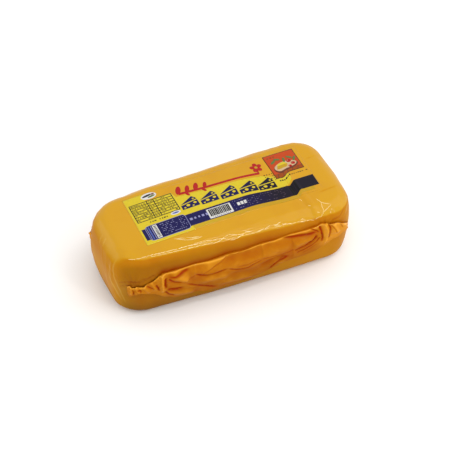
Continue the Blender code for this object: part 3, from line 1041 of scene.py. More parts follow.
@dataclass(frozen=True)
class HighlightRidges:
    """Hair-fine ridges where the tight film is pinched along the front edge of the top. Their pale
    film paints the thin highlights along that edge.

    They are cords half sunk in the film. Places are in millimetres in the row frame, seen from
    above. A chain is broken into short strokes of a random length, with small random gaps, that
    lie askew by up to `skew` at their ends. A ridge is whole.
    """

    chains: tuple[tuple[tuple[float, float], ...], ...] = (
        ((-135, -38.6), (-129.4, -41.3), (-123.5, -43.3), (-109.7, -44.5), (-99.5, -45.7), (-89.5, -47.0),
         (-79.3, -48.0), (-71.3, -48.5), (-63.3, -49.4), (-55.2, -50.6), (-47.2, -51.2), (-41.2, -51.0),
         (-35, -52.0), (-29, -52.7), (-23.8, -53.6), (-18.3, -55.3), (-14, -56.9), (-9.6, -57.9),
         (-4, -57.4), (1.6, -56.6), (6.2, -54.7), (10.3, -55.5), (13.6, -56.5)),
        ((-110.5, -46.1), (-100.3, -47.3), (-90.1, -48.7), (-79, -49.8), (-70.8, -50.9), (-60.8, -52.0),
         (-52.7, -52.9), (-44.5, -53.8), (-36.5, -54.2), (-30.3, -55.2), (-26.3, -55.0), (-22.7, -53.9),
         (-19.1, -52.8), (-13.2, -51.9), (-6.9, -53.9), (-0.5, -55.6), (5.8, -57.3), (12.2, -58.3),
         (18.2, -58.5), (24, -58.9)),
        ((20, -57.9), (26, -58.2), (31.8, -58.1), (37.6, -57.2)),
        ((51.6, -59.6), (56.6, -60.5), (63, -61.8), (72.1, -62.1), (80.6, -63.3), (90, -64.1), (98, -64.1),
         (102.7, -63.8), (105.4, -61.7)),
    )
    ridges: tuple[tuple[tuple[float, float], ...], ...] = (
        ((41.2, -58.2), (44.4, -59.7), (48.6, -60.7), (51.1, -60.4)),
        ((41.6, -57.5), (46, -58.9), (49.3, -59.8)),
        ((42.4, -59.4), (45.8, -58.2), (49.4, -57.3), (51, -57.7)),
        ((105.4, -61.7), (111.6, -59.2), (118.2, -56.6)),
        ((118.2, -56.6), (112.3, -53.4), (107.7, -50.6), (104.6, -42.4)),
        ((107.7, -50.6), (106.3, -55.6), (106.5, -59.3), (105, -61.5)),
        ((85.6, -36), (88.3, -38.6)),
        ((91.2, -48.5), (93.8, -50.9)),
        ((97.6, -59.8), (101.1, -60.6)),
        ((-76, -33.9), (-71.9, -35.9), (-66, -37.3), (-62.9, -39.3)),
        ((-74.9, -34.3), (-67.9, -38.8), (-64, -40.8)),
        ((-61.9, -38.3), (-56.8, -41.3), (-51.9, -41.8), (-47.8, -43.8), (-43.5, -44.1)),
        ((-66, -40.3), (-57.9, -43.3), (-49.8, -44.5), (-45.8, -44.7)),
        ((-58.5, -40.4), (-54, -42.9), (-48.5, -42.6)),
    )
    seed: int = 17
    stroke: tuple[float, float] = (4.0, 10.0)
    gap: tuple[float, float] = (-1.2, 0.8)
    skew: float = 0.4
    step: float = 0.7
    radius: float = 0.32
    sides: int = 7
    sunk: float = 0.12
    weakest: float = 0.7
    strongest: float = 1.1
    tip: float = 0.35
    above: float = 200.0

    def lines(self) -> list[np.ndarray]:
        """Break the chains into strokes and space out their places and those of the ridges.

        Returns:
            An array for each stroke or ridge, with its places a step apart.
        """
        draw = np.random.default_rng(self.seed)
        made = []
        for number, guide in enumerate(self.chains + self.ridges):
            line = np.array(guide)
            run = np.concatenate(([0], np.cumsum(np.hypot(*np.diff(line, axis=0).T))))
            start = 0.0
            while start < run[-1] - 1:
                whole = number >= len(self.chains)
                end = run[-1] if whole else min(start + draw.uniform(*self.stroke), run[-1])
                places = np.linspace(start, end, max(5, round((end - start) / self.step)))
                slant = 0.0 if whole else draw.uniform(-self.skew, self.skew)
                aside = slant * np.linspace(-1, 1, len(places))
                made.append(np.stack((np.interp(places, run, line[:, 0]),
                                      np.interp(places, run, line[:, 1]) + aside), axis=-1))
                start = end + draw.uniform(*self.gap)
        return made

    def build(self, wrap: bpy.types.Object, finish: FilmFinish) -> bpy.types.Object:
        """Build the ridges.

        Args:
            wrap: the wrap that they lie on.
            finish: their film.

        Returns:
            The piece, a set of closed cords.
        """
        surface = BVHTree.FromPolygons([vert.co for vert in wrap.data.vertices],
                                       [tuple(face.vertices) for face in wrap.data.polygons])
        points = []
        edges = []
        girths = []
        draw = np.random.default_rng(self.seed + 1)
        for line in self.lines():
            strength = draw.uniform(self.weakest, self.strongest)
            first = len(points)
            for x, y in line:
                place, normal = surface.ray_cast(Vector((x, y, self.above)) * MM, Vector((0, 0, -1)))[:2]
                points.append(place - normal * self.sunk * MM)
            edges += [(first + i, first + i + 1) for i in range(len(line) - 1)]
            swell = np.sin(np.linspace(0, math.pi, len(line))) ** 0.6
            girths += list(strength * (self.tip + (1 - self.tip) * swell))
        mesh = bpy.data.meshes.new("ridge_lines")
        mesh.from_pydata(points, edges, [])
        paint(mesh, "girth", np.array(girths))
        material = finish.material()
        cords = run_tree(cord_tree(), {
            "Sides": self.sides, "Radius": self.radius * MM, "Material": material}, mesh)
        face_outwards(cords)
        girth = cords.attributes.get("girth")
        if girth:
            cords.attributes.remove(girth)
        # The cords take the pale crest colour: painted highlights.
        paint(cords, LAYERS_AND_SHADE, np.ones(len(cords.vertices)))
        return new_piece("highlight_ridges", cords, material)


@dataclass
class FilmFin:
    """Surplus film that is gathered along one long side and hangs down over it.

    root, edge, stand, cup and paleness are lines over the distance along the side: where the fin
    leaves the loaf, its hanging edge, how far it stands out, how deep a pocket is behind its upper
    rim, and how much paler its film is. Lengths are in millimetres. The fin's upper rim stands out
    by `lip_share` of its stand and comes out to the rest of it over `lip_drop`. Its flap is `film`
    thick and hangs free below `flap_share` of its height.
    """

    name: str
    side: Side
    root: Points
    edge: Points
    stand: Points
    cup: Points
    folds: tuple[Fold, ...]
    creases: tuple[Crease, ...]
    gathers: tuple[Gather, ...]
    seed: int
    faces_along: int = 560
    rows: int = 84
    film: float = 0.5
    root_depth: float = 3.0
    flap_share: float = 0.45
    edge_share: float = 0.8
    lip_drop: float = 11.0
    lip_share: float = 0.42
    cup_lip_share: float = 0.65
    least_stand: float = 0.5
    full_stand: float = 3.0
    face_level: float = 0.5
    relief_per_level: float = 16.0
    crease_shade: float = 0.6
    crumple: float = 0.3
    lip_painted_highlight: float = 0.5
    lip_highlight_width: float = 1.8
    pocket_level: float = 0.35
    inner_level: float = 0.3
    root_level: float = 0.2
    low_painted_shade: float = 0.2
    paleness: Points = field(default_factory=lambda: [(0.0, 0.0)])

    def on_line(self, line: Points, along: np.ndarray) -> np.ndarray:
        """Value of one of the fin's lines at each distance along the side."""
        stations, values = zip(*line)
        return np.interp(along, stations, values)

    def face(self, along: np.ndarray, up: np.ndarray) -> tuple[np.ndarray, np.ndarray]:
        """The fin's outer face at each place.

        Args:
            along: distances along the side, in millimetres.
            up: heights.

        Returns:
            The relief in millimetres and the level, which is 0 in a deep crease. The level is painted
            light and shade: higher on swells and lower in dips and creases.
        """
        flat = np.zeros_like(up)
        wander = Waves(self.seed, shortest=18, longest=50, height=0.7)
        crumples = Waves(self.seed + 1, shortest=10, longest=26, height=self.crumple,
                         stretch=(2.4, 1.0, 1.0), sharp=True)
        puckers = Waves(self.seed + 2, shortest=4, longest=9, height=0.08,
                        stretch=(2.2, 1.0, 1.0), sharp=True)
        along_bent = along + wander.at(along, up, flat)
        up_bent = up + wander.at(up + 90, along, flat)
        relief = sum(part.relief(along_bent, up_bent) for part in self.folds + self.gathers)
        dark = flat
        for crease in self.creases:
            pressed, mark = crease.press(along_bent, up_bent)
            relief = relief + pressed
            dark = np.maximum(dark, mark * min(1.0, crease.depth))
        relief = relief + crumples.at(along, up, flat) + puckers.at(along, up, flat)
        return relief, self.face_level + relief / self.relief_per_level - self.crease_shade * dark

    def ring(self, along: np.ndarray) -> tuple[np.ndarray, np.ndarray, np.ndarray]:
        """The fin's closed section at each distance along the side.

        Args:
            along: the distances, in millimetres.

        Returns:
            Heights, distances out and levels, with a row for each point round the section.
        """
        flat = np.zeros_like(along)
        waver = Waves(self.seed + 3, shortest=9, longest=30, height=0.6)
        root = self.on_line(self.root, along)
        edge = self.on_line(self.edge, along) + waver.at(along, flat, flat)
        stand = self.on_line(self.stand, along)
        cup = np.maximum(self.on_line(self.cup, along), 0)
        least = np.minimum(self.least_stand, stand)
        lip_share = self.lip_share + (self.cup_lip_share - self.lip_share) * soft(cup, 0, 3)
        section = [(root - cup, flat - self.root_depth, flat + self.inner_level)]
        # The pocket behind the rim, whose lower levels are painted shade.
        for row in (0.0, 0.35, 0.7):
            pocket = 0.2 + (stand * lip_share - self.film - 0.2) * (0.5 + 0.5 * row)
            section.append((root - cup * (1 - row) - 0.01, np.minimum(stand, pocket),
                            flat + self.pocket_level + 0.2 * row))
        # The outer face, from the rim down to the hanging edge.
        first = len(section)
        for row in np.linspace(0, 1, self.rows) ** 1.25:
            up = root + (edge - root) * row
            lip = lip_share + (1 - lip_share) * soft(root - up, 0, self.lip_drop)
            hang = 1 + (self.edge_share - 1) * row
            relief, level = self.face(along, up)
            reach = stand * lip * hang + relief * soft(stand, 0, self.full_stand)
            # A painted highlight along the upper rim.
            light = self.lip_painted_highlight * np.exp(-((root - up) / self.lip_highlight_width) ** 2)
            level = level + light + self.on_line(self.paleness, along)
            section.append((up, np.maximum(reach, least), np.clip(level, 0, 1)))
        # The inner face of the flap, up to where it joins the rest, and back into the loaf. These faces
        # get lower levels as painted shade.
        for up, reach, _ in section[:first + int(self.rows * self.flap_share):-4]:
            section.append((up + self.film, reach - self.film, flat + self.inner_level))
        section.append((section[-1][0], flat - self.root_depth, flat + self.root_level))
        heights, reaches, levels = np.array(section).swapaxes(0, 1)
        return heights, reaches, levels

    def build(self, form: LoafForm, finish: FilmFinish) -> bpy.types.Object:
        """Build the fin.

        Args:
            form: the loaf that it hangs on.
            finish: its film.

        Returns:
            The piece, a closed mesh whose root is inside the loaf.
        """
        stations = np.linspace(self.stand[0][0], self.stand[-1][0], self.faces_along + 1)
        heights, reaches, levels = self.ring(stations)
        along = np.broadcast_to(stations * MM, heights.shape)
        x, y, z = form.side_surface(self.side, along, heights * MM)
        step = 0.5 * MM
        ahead = form.side_surface(self.side, along + step, heights * MM)
        behind = form.side_surface(self.side, along - step, heights * MM)
        run_x = ahead[0] - behind[0]
        run_y = ahead[1] - behind[1]
        out = self.side.value * reaches * MM / np.hypot(run_x, run_y)
        points = np.stack((x - out * run_y, y + out * run_x, z), axis=-1)
        around, count = heights.shape
        faces = []
        for place in range(around):
            here = place * count
            after = (place + 1) % around * count
            faces += [(here + i, here + i + 1, after + i + 1, after + i) for i in range(count - 1)]
        faces.append([place * count for place in range(around)])
        faces.append([place * count + count - 1 for place in reversed(range(around))])
        mesh = bpy.data.meshes.new(self.name)
        mesh.from_pydata(points.reshape(-1, 3).tolist(), [], faces)
        paint(mesh, LAYERS_AND_SHADE, levels.ravel())
        # Painted shade darkens the fin below about 56 mm, most at its lower edge.
        paint(mesh, PAINTED_SHADE, self.low_painted_shade * soft(points[..., 2].ravel() / MM, 56, 26))
        face_outwards(mesh)
        return new_piece(self.name, mesh, finish.material())


@dataclass
class TopLabel:
    """The printed label on the loaf's top, with its fields of colour and simple shapes.

    Print places are in millimetres in the loaf's own frame: x along the loaf, y towards the back.
    A shape's layer says how far above the sheet it is printed. Shapes of one ink that overlap
    each have a layer of their own.
    """

    form: LoafForm
    relief: WrapRelief
    left: float = LABEL_BOX[0]
    right: float = LABEL_BOX[1]
    front: float = LABEL_BOX[2]
    back: float = LABEL_BOX[3]
    cell: float = 1.5
    least_edge: float = 0.005
    sheet_lift: float = 0.12
    layer_lift: float = 0.045
    ink_thickness: float = 0.03
    shapes: dict[Ink, bmesh.types.BMesh] = field(default_factory=dict)
    dashes: dict[Ink, list[bpy.types.Mesh]] = field(default_factory=dict)
    dasher: bpy.types.NodeTree = field(default_factory=dash_tree)
    film_sag: float = -4.5
    pleat_rise: float = 6.2

    def sag(self, x: np.ndarray, y: np.ndarray) -> np.ndarray:
        """How far the print is shifted in y where the film sags and is gathered by a pleat."""
        drop = self.film_sag * soft(x, 25, 75) + self.pleat_rise * soft(x, 84, 97)
        return drop * soft(y, 34, 4)

    def drape(self, points: np.ndarray) -> np.ndarray:
        """Lay printed points, with their layer as z, on the loaf's top.

        Args:
            points: places in millimetres, with the layer as the third value.

        Returns:
            The points in the row frame, in metres.
        """
        x = points[:, 0]
        y = points[:, 1] + self.sag(x, points[:, 1])
        lift = self.sheet_lift + points[:, 2] * self.layer_lift
        top = self.form.crowned(x * MM, y * MM, np.full_like(x, self.form.height))
        z = top + (self.relief.on_top(x, y) + lift) * MM
        return np.stack((x * MM - self.form.centre[0], y * MM - self.form.centre[1], z), axis=-1)

    def polygon(self, ink: Ink, layer: float, corners: Points) -> None:
        """Print a filled polygon.

        Args:
            ink: its ink.
            layer: its layer.
            corners: its corners in order.
        """
        shape = self.shapes.setdefault(ink, bmesh.new())
        verts = [shape.verts.new((x, y, layer)) for x, y in corners]
        made = shape.faces.new(verts)
        made.normal_update()
        if made.normal.z < 0:
            made.normal_flip()

    def ellipse(self, ink: Ink, layer: float, middle: tuple[float, float], size: tuple[float, float],
                turn: float = 0.0, corners: int = 28) -> None:
        """Print a filled ellipse.

        Args:
            ink: its ink.
            layer: its layer.
            middle: its middle.
            size: its width and height.
            turn: how far it is turned, in degrees.
            corners: how many corners it is drawn with.
        """
        cosine = math.cos(math.radians(turn))
        sine = math.sin(math.radians(turn))
        ring = []
        for step in range(corners):
            angle = 2 * math.pi * step / corners
            across = size[0] / 2 * math.cos(angle)
            rise = size[1] / 2 * math.sin(angle)
            ring.append((middle[0] + across * cosine - rise * sine,
                         middle[1] + across * sine + rise * cosine))
        self.polygon(ink, layer, ring)

    def box(self, ink: Ink, layer: float, x0: float, y0: float, x1: float, y1: float,
            radius: float = 0.0) -> None:
        """Print a filled rectangle.

        Args:
            ink: its ink.
            layer: its layer.
            x0: its left side.
            y0: its front side.
            x1: its right side.
            y1: its back side.
            radius: the radius of its corners.
        """
        if radius == 0:
            self.polygon(ink, layer, [(x0, y0), (x1, y0), (x1, y1), (x0, y1)])
            return
        ring = []
        for turn, (x, y) in enumerate(((x1 - radius, y0 + radius), (x1 - radius, y1 - radius),
                                       (x0 + radius, y1 - radius), (x0 + radius, y0 + radius))):
            for step in range(5):
                angle = math.pi / 2 * (turn - 1 + step / 4)
                ring.append((x + radius * math.cos(angle), y + radius * math.sin(angle)))
        self.polygon(ink, layer, ring)

    def stroke(self, ink: Ink, layer: float, start: tuple[float, float], end: tuple[float, float],
               width: float, end_width: float | None = None) -> None:
        """Print a straight stroke.

        Args:
            ink: its ink.
            layer: its layer.
            start: where it starts.
            end: where it ends.
            width: its width.
            end_width: its width at the end, if it tapers.
        """
        run = Vector(end) - Vector(start)
        square = Vector((-run.y, run.x)).normalized()
        near = square * width / 2
        far = square * (width if end_width is None else end_width) / 2
        self.polygon(ink, layer, [tuple(Vector(start) - near), tuple(Vector(end) - far),
                                  tuple(Vector(end) + far), tuple(Vector(start) + near)])

    def dash_rows(self, ink: Ink, layer: float, middle: tuple[float, float], columns: int, rows: int,
                  pitch: tuple[float, float], shortest: tuple[float, float], longest: tuple[float, float],
                  kept: float = 1.0, seed: int = 0) -> None:
        """Print rows of bars of random sizes.

        Args:
            ink: their ink.
            layer: their layer.
            middle: the middle of the rows.
            columns: how many bars a row has.
            rows: how many rows there are.
            pitch: the distances between bars and between rows.
            shortest: the least width and height of a bar.
            longest: the greatest width and height.
            kept: the share of the bars that is printed.
            seed: the seed of their sizes and gaps.
        """
        mesh = run_tree(self.dasher, {
            "Columns": columns, "Rows": rows, "Pitch": (*pitch, 0.0), "Shortest": (*shortest, 1.0),
            "Longest": (*longest, 1.0), "Kept": kept, "Seed": seed})
        points = read_points(mesh)
        write_points(mesh, points + np.array((*middle, layer)))
        self.dashes.setdefault(ink, []).append(mesh)

    def wedge(self, x: float, y: float, width: float) -> None:
        """Print a small navy picture of a cheese wedge with holes.

        Args:
            x: the middle of its base.
            y: the base.
            width: the length of its base.
        """
        half = width / 2

        def place(across: float, rise: float) -> tuple[float, float]:
            """A point of the wedge from shares of its half width."""
            return x + across * half, y + rise * half

        self.polygon(Ink.NAVY, 2, [place(*p) for p in ((-1, 0), (1, 0), (1, 0.92), (-1, 0.62))])
        self.polygon(Ink.NAVY, 2, [place(*p) for p in ((-1, 0.74), (1, 1.04), (0.9, 1.3), (0.6, 1.62))])
        for across, rise, size in ((-0.66, 0.22, 2.6), (-0.22, 0.44, 4.6), (0.3, 0.2, 2.4),
                                   (0.62, 0.56, 4.0), (0.64, 1.22, 2.6)):
            self.ellipse(Ink.YELLOW, 3, place(across, rise), (size, size * 0.85))

    def print_fields(self) -> None:
        """Print the yellow fields behind the table, the motifs and the band."""
        self.polygon(Ink.YELLOW, 1, [
            (-107.6, -32.6), (-47, -32.6), (-47, -8), (80, -8), (92, -4), (93.5, 4), (89, 9), (75, 11),
            (60, 16), (-47, 24.5), (-50, 33.5), (-82, 33.5), (-82, 45), (-107, 45)])
        self.box(Ink.STRIP, 1, -47, -31.5, 112, -24)

    def print_band(self) -> None:
        """Print the dark band with its panel, stripes, bars and small marks."""
        self.box(Ink.NAVY, 2, -105, -26.2, 119.5, -8.2)
        self.box(Ink.PALE, 3, -100.6, -29, -49.4, -5.4, 4.4)
        self.box(Ink.NAVY, 4, -100, -28.4, -50, -6, 4)
        for x, width, ink in ((-98.6, 0.7, Ink.PALE), (-96.2, 1.8, Ink.BLUE), (-93.2, 1.0, Ink.PALE)):
            self.box(ink, 5, x - width / 2, -27.4, x + width / 2, -7)
        self.box(Ink.WHITE, 5, -91.5, -27.6, -86, -6.8)
        self.dash_rows(Ink.BLACK, 6, (-88.6, -17.2), 1, 9, (1, 2.1), (2.4, 1.0), (4.4, 1.5), seed=3)
        self.dash_rows(Ink.PALE, 5, (-67, -17), 12, 7, (2.6, 2.7), (0.7, 0.5), (2.3, 0.8), 0.62, 5)
        self.dash_rows(Ink.PALE, 3, (-35, -16.5), 5, 1, (5, 1), (2.0, 2.6), (3.4, 3.6), seed=6)
        self.box(Ink.WHITE, 3, -24, -25, 6.5, -10.6)
        self.dash_rows(Ink.GREY, 4, (-8.7, -16.9), 13, 1, (2.05, 1), (1.3, 10.6), (2.05, 10.6), seed=9)
        self.dash_rows(Ink.GREY, 4, (-8.7, -23.7), 10, 1, (2.4, 1), (1.0, 0.8), (1.6, 0.8), seed=10)
        self.dash_rows(Ink.WHITE, 3, (20.5, -16.6), 3, 1, (4.3, 1), (2.8, 4.2), (3.6, 5.0), seed=12)
        self.dash_rows(Ink.PALE, 3, (42, -17), 22, 5, (3.0, 2.9), (0.6, 0.5), (2.5, 0.7), 0.5, 14)
        # Dark ink along the pleat: painted shade where the film folds steeply there.
        for x, width in ((85, 4.5), (92.5, 3.5), (88.6, 0.9)):
            self.box(Ink.DARK, 3, x - width / 2, -26.1, x + width / 2, -8.3)

    def print_table(self) -> None:
        """Print the ruled table, the small marks under it and the two ovals."""
        for y in np.linspace(3.6, 32.6, 8):
            self.box(Ink.BLACK, 2, -104.2, y - 0.5, -50.4, y + 0.5)
        for x in (-104, -82, -73.6, -50.6):
            self.box(Ink.BLACK, 2, x - 0.55, 3.6, x + 0.55, 32.6)
        for x, columns, shortest, longest, kept, seed in (
                (-93.4, 6, (1.2, 0.8), (3.1, 1.5), 0.75, 21),
                (-77.8, 2, (1.4, 0.8), (2.6, 1.4), 0.8, 22),
                (-62, 6, (1.2, 0.8), (3.1, 1.4), 0.7, 23)):
            self.dash_rows(Ink.BLACK, 2, (x, 18.1), columns, 7, (3.2, 29 / 7), shortest, longest,
                           kept, seed)
        self.dash_rows(Ink.BLACK, 2, (-79.5, -0.7), 8, 1, (3.0, 1), (0.9, 1.2), (2.6, 1.9), 0.9, 24)
        self.ellipse(Ink.WHITE, 2, (-57.6, 0.4), (12.6, 5.4))
        self.ellipse(Ink.BLUE, 3, (-57.6, 0.4), (8.6, 2.4))
        self.ellipse(Ink.WHITE, 2, (-76, 39.6), (19.5, 10))
        self.ellipse(Ink.GREY, 3, (-78, 40.6), (12.5, 3.0), 8)
        self.ellipse(Ink.GREEN, 3, (-73, 38.0), (10, 2.6), 8)
        self.ellipse(Ink.BROWN, 3, (-70.5, 41.0), (4.2, 2.4))

    def print_motifs(self) -> None:
        """Print the row of wedges and, above it, a red stalk with leaves and a flower."""
        for x in (-37, -12.5, 12.5, 37, 60):
            self.wedge(x, 0.2 - 0.06 * (x + 37), 22)
        self.stroke(Ink.RED, 2, (-42, 27.5), (60, 20.5), 3.6, 3.0)
        leaves = ((-42, 1, 14), (-31, 1, 12), (-20, 1, 13), (-9, 1, 10), (-34, -1, 8), (-13, -1, 8))
        for number, (x, way, length) in enumerate(leaves):
            stem = 27.5 - (x + 42) / 102 * 7
            middle = (x + 1.6, stem + way * length * 0.42)
            self.ellipse(Ink.RED, 2.1 + 0.1 * number, middle, (length, length * 0.46), way * 66, 24)
        for turn in range(5):
            angle = math.radians(90 + 72 * turn)
            middle = (61 + 4.6 * math.cos(angle), 30 + 4.6 * math.sin(angle))
            self.ellipse(Ink.RED, 2.1 + 0.1 * turn, middle, (6.4, 5.4), 90 + 72 * turn)
        self.ellipse(Ink.STRIP, 3, (61, 30), (4.0, 4.0))
        self.stroke(Ink.RED, 1.5, (59.5, 20), (61, 30), 2.0)
        self.dash_rows(Ink.BLACK, 2, (69, 11), 4, 4, (3.2, 3.2), (1.0, 1.0), (1.6, 1.3), 0.8, 31)

    def print_picture(self) -> None:
        """Print the framed picture: a plate of cheese, tomatoes and leaves on an orange ground."""
        self.box(Ink.BLACK, 1.5, 75.2, 6.4, 115.8, 43.2)
        self.box(Ink.ORANGE, 2.5, 76.0, 7.2, 115.0, 42.4)
        self.box(Ink.RUST, 3, 76.0, 7.2, 115.0, 13.0)
        for x in np.arange(79.0, 114.0, 7.2):
            self.stroke(Ink.BROWN, 3.5, (x, 7.2), (x + 2.4, 13.0), 0.8)
        self.ellipse(Ink.BROWN, 4, (96, 18.6), (33, 15.5))
        self.ellipse(Ink.CREAM, 5, (96, 20.0), (30.5, 13))
        self.polygon(Ink.YELLOW, 6, [(83.5, 18.5), (97, 16), (99.5, 21), (96, 26), (87, 25)])
        self.polygon(Ink.STRIP, 7, [(83.5, 18.5), (97, 16), (99.5, 21), (85.5, 22.6)])
        for x, y, size in ((103, 25, 6.2), (106.4, 19.4, 5.6), (101, 15.6, 4.4)):
            self.ellipse(Ink.RED, 7, (x, y), (size, size * 0.92))
            self.ellipse(Ink.CREAM, 8, (x - size * 0.18, y + size * 0.2), (size * 0.24, size * 0.18))
        for x, y, turn in ((84, 30, 30), (90, 32.5, -20), (106, 31, 140), (111, 27, 60), (98, 29, 80)):
            self.ellipse(Ink.GREEN, 6, (x, y), (8.5, 3.2), turn)
        for x in (80.5, 84.5, 88.5):
            self.ellipse(Ink.RUST, 3.5, (x, 38.2), (2.6, 2.6))
        self.dash_rows(Ink.BLACK, 2, (86, 2.6), 6, 1, (2.9, 1), (1.2, 1.2), (2.5, 2.4), 0.95, 41)
        self.dash_rows(Ink.BLACK, 2, (106.5, 1.6), 8, 1, (2.8, 1), (0.9, 0.9), (2.3, 1.3), 0.95, 42)

    def cut_to_cells(self, shape: bmesh.types.BMesh) -> None:
        """Cut the large shapes along the sheet's cells, so that they can bend with it.

        Args:
            shape: the shapes of one ink, which are changed.
        """
        low = np.array([vert.co[:2] for vert in shape.verts]).min(axis=0)
        high = np.array([vert.co[:2] for vert in shape.verts]).max(axis=0)
        for axis in (0, 1):
            normal = Vector((1 - axis, axis, 0))
            first = math.floor(low[axis] / self.cell) + 1
            last = math.ceil(high[axis] / self.cell)
            for line in range(first, last):
                bmesh.ops.bisect_plane(shape, geom=shape.verts[:] + shape.edges[:] + shape.faces[:],
                                       plane_co=normal * line * self.cell, plane_no=normal, dist=1e-4)
        bmesh.ops.dissolve_degenerate(shape, dist=self.least_edge, edges=shape.edges[:])

    def print_ink(self, ink: Ink) -> bpy.types.Object:
        """Turn one ink's shapes and dashes into a piece that lies on the label.

        Args:
            ink: the ink.

        Returns:
            The piece.
        """
        shape = self.shapes.get(ink) or bmesh.new()
        for mesh in self.dashes.get(ink, []):
            shape.from_mesh(mesh)
            bpy.data.meshes.remove(mesh)
        self.cut_to_cells(shape)
        mesh = bpy.data.meshes.new(ink.value.name)
        shape.to_mesh(mesh)
        shape.free()
        write_points(mesh, self.drape(read_points(mesh)))
        printed = new_piece("print_" + ink.name.lower(), mesh, ink.value.material())
        self.thicken(printed, self.ink_thickness)
        return printed

    def thicken(self, piece: bpy.types.Object, thickness: float) -> None:
        """Give an open sheet its thickness below its face.

        Args:
            piece: the sheet, which is changed.
            thickness: the thickness in millimetres.
        """
        solid = piece.modifiers.new("thickness", "SOLIDIFY")
        solid.thickness = thickness * MM
        solid.offset = -1.0
        full = evaluated_mesh(piece)
        piece.modifiers.clear()
        piece.data = full

    def build_sheet(self, finish: FilmFinish) -> bpy.types.Object:
        """Build the label's clear sheet, through which the film's own colour shows.

        Args:
            finish: the film.

        Returns:
            The piece.
        """
        columns = round((self.right - self.left) / self.cell)
        rows = round((self.back - self.front) / self.cell)
        shape = bmesh.new()
        bmesh.ops.create_grid(shape, x_segments=columns, y_segments=rows, size=1)
        mesh = bpy.data.meshes.new("label_sheet")
        shape.to_mesh(mesh)
        shape.free()
        share = (read_points(mesh) + 1) / 2
        x = self.left + share[:, 0] * (self.right - self.left)
        y = self.front + share[:, 1] * (self.back - self.front)
        printed_y = y - self.sag(x, y)
        printed_y = y - self.sag(x, printed_y)
        write_points(mesh, self.drape(np.stack((x, printed_y, np.zeros_like(x)), axis=-1)))
        paint(mesh, LAYERS_AND_SHADE, np.ones(len(mesh.vertices)))
        sheet = new_piece("label_sheet", mesh, finish.material())
        self.thicken(sheet, self.sheet_lift)
        return sheet

    def build(self, finish: FilmFinish) -> list[bpy.types.Object]:
        """Build the sheet and one piece for each ink.

        Args:
            finish: the film that the sheet lies on.

        Returns:
            The pieces.
        """
        self.print_fields()
        self.print_band()
        self.print_table()
        self.print_motifs()
        self.print_picture()
        pieces = [self.build_sheet(finish)]
        for ink in Ink:
            if ink in self.shapes or ink in self.dashes:
                pieces.append(self.print_ink(ink))
        return pieces


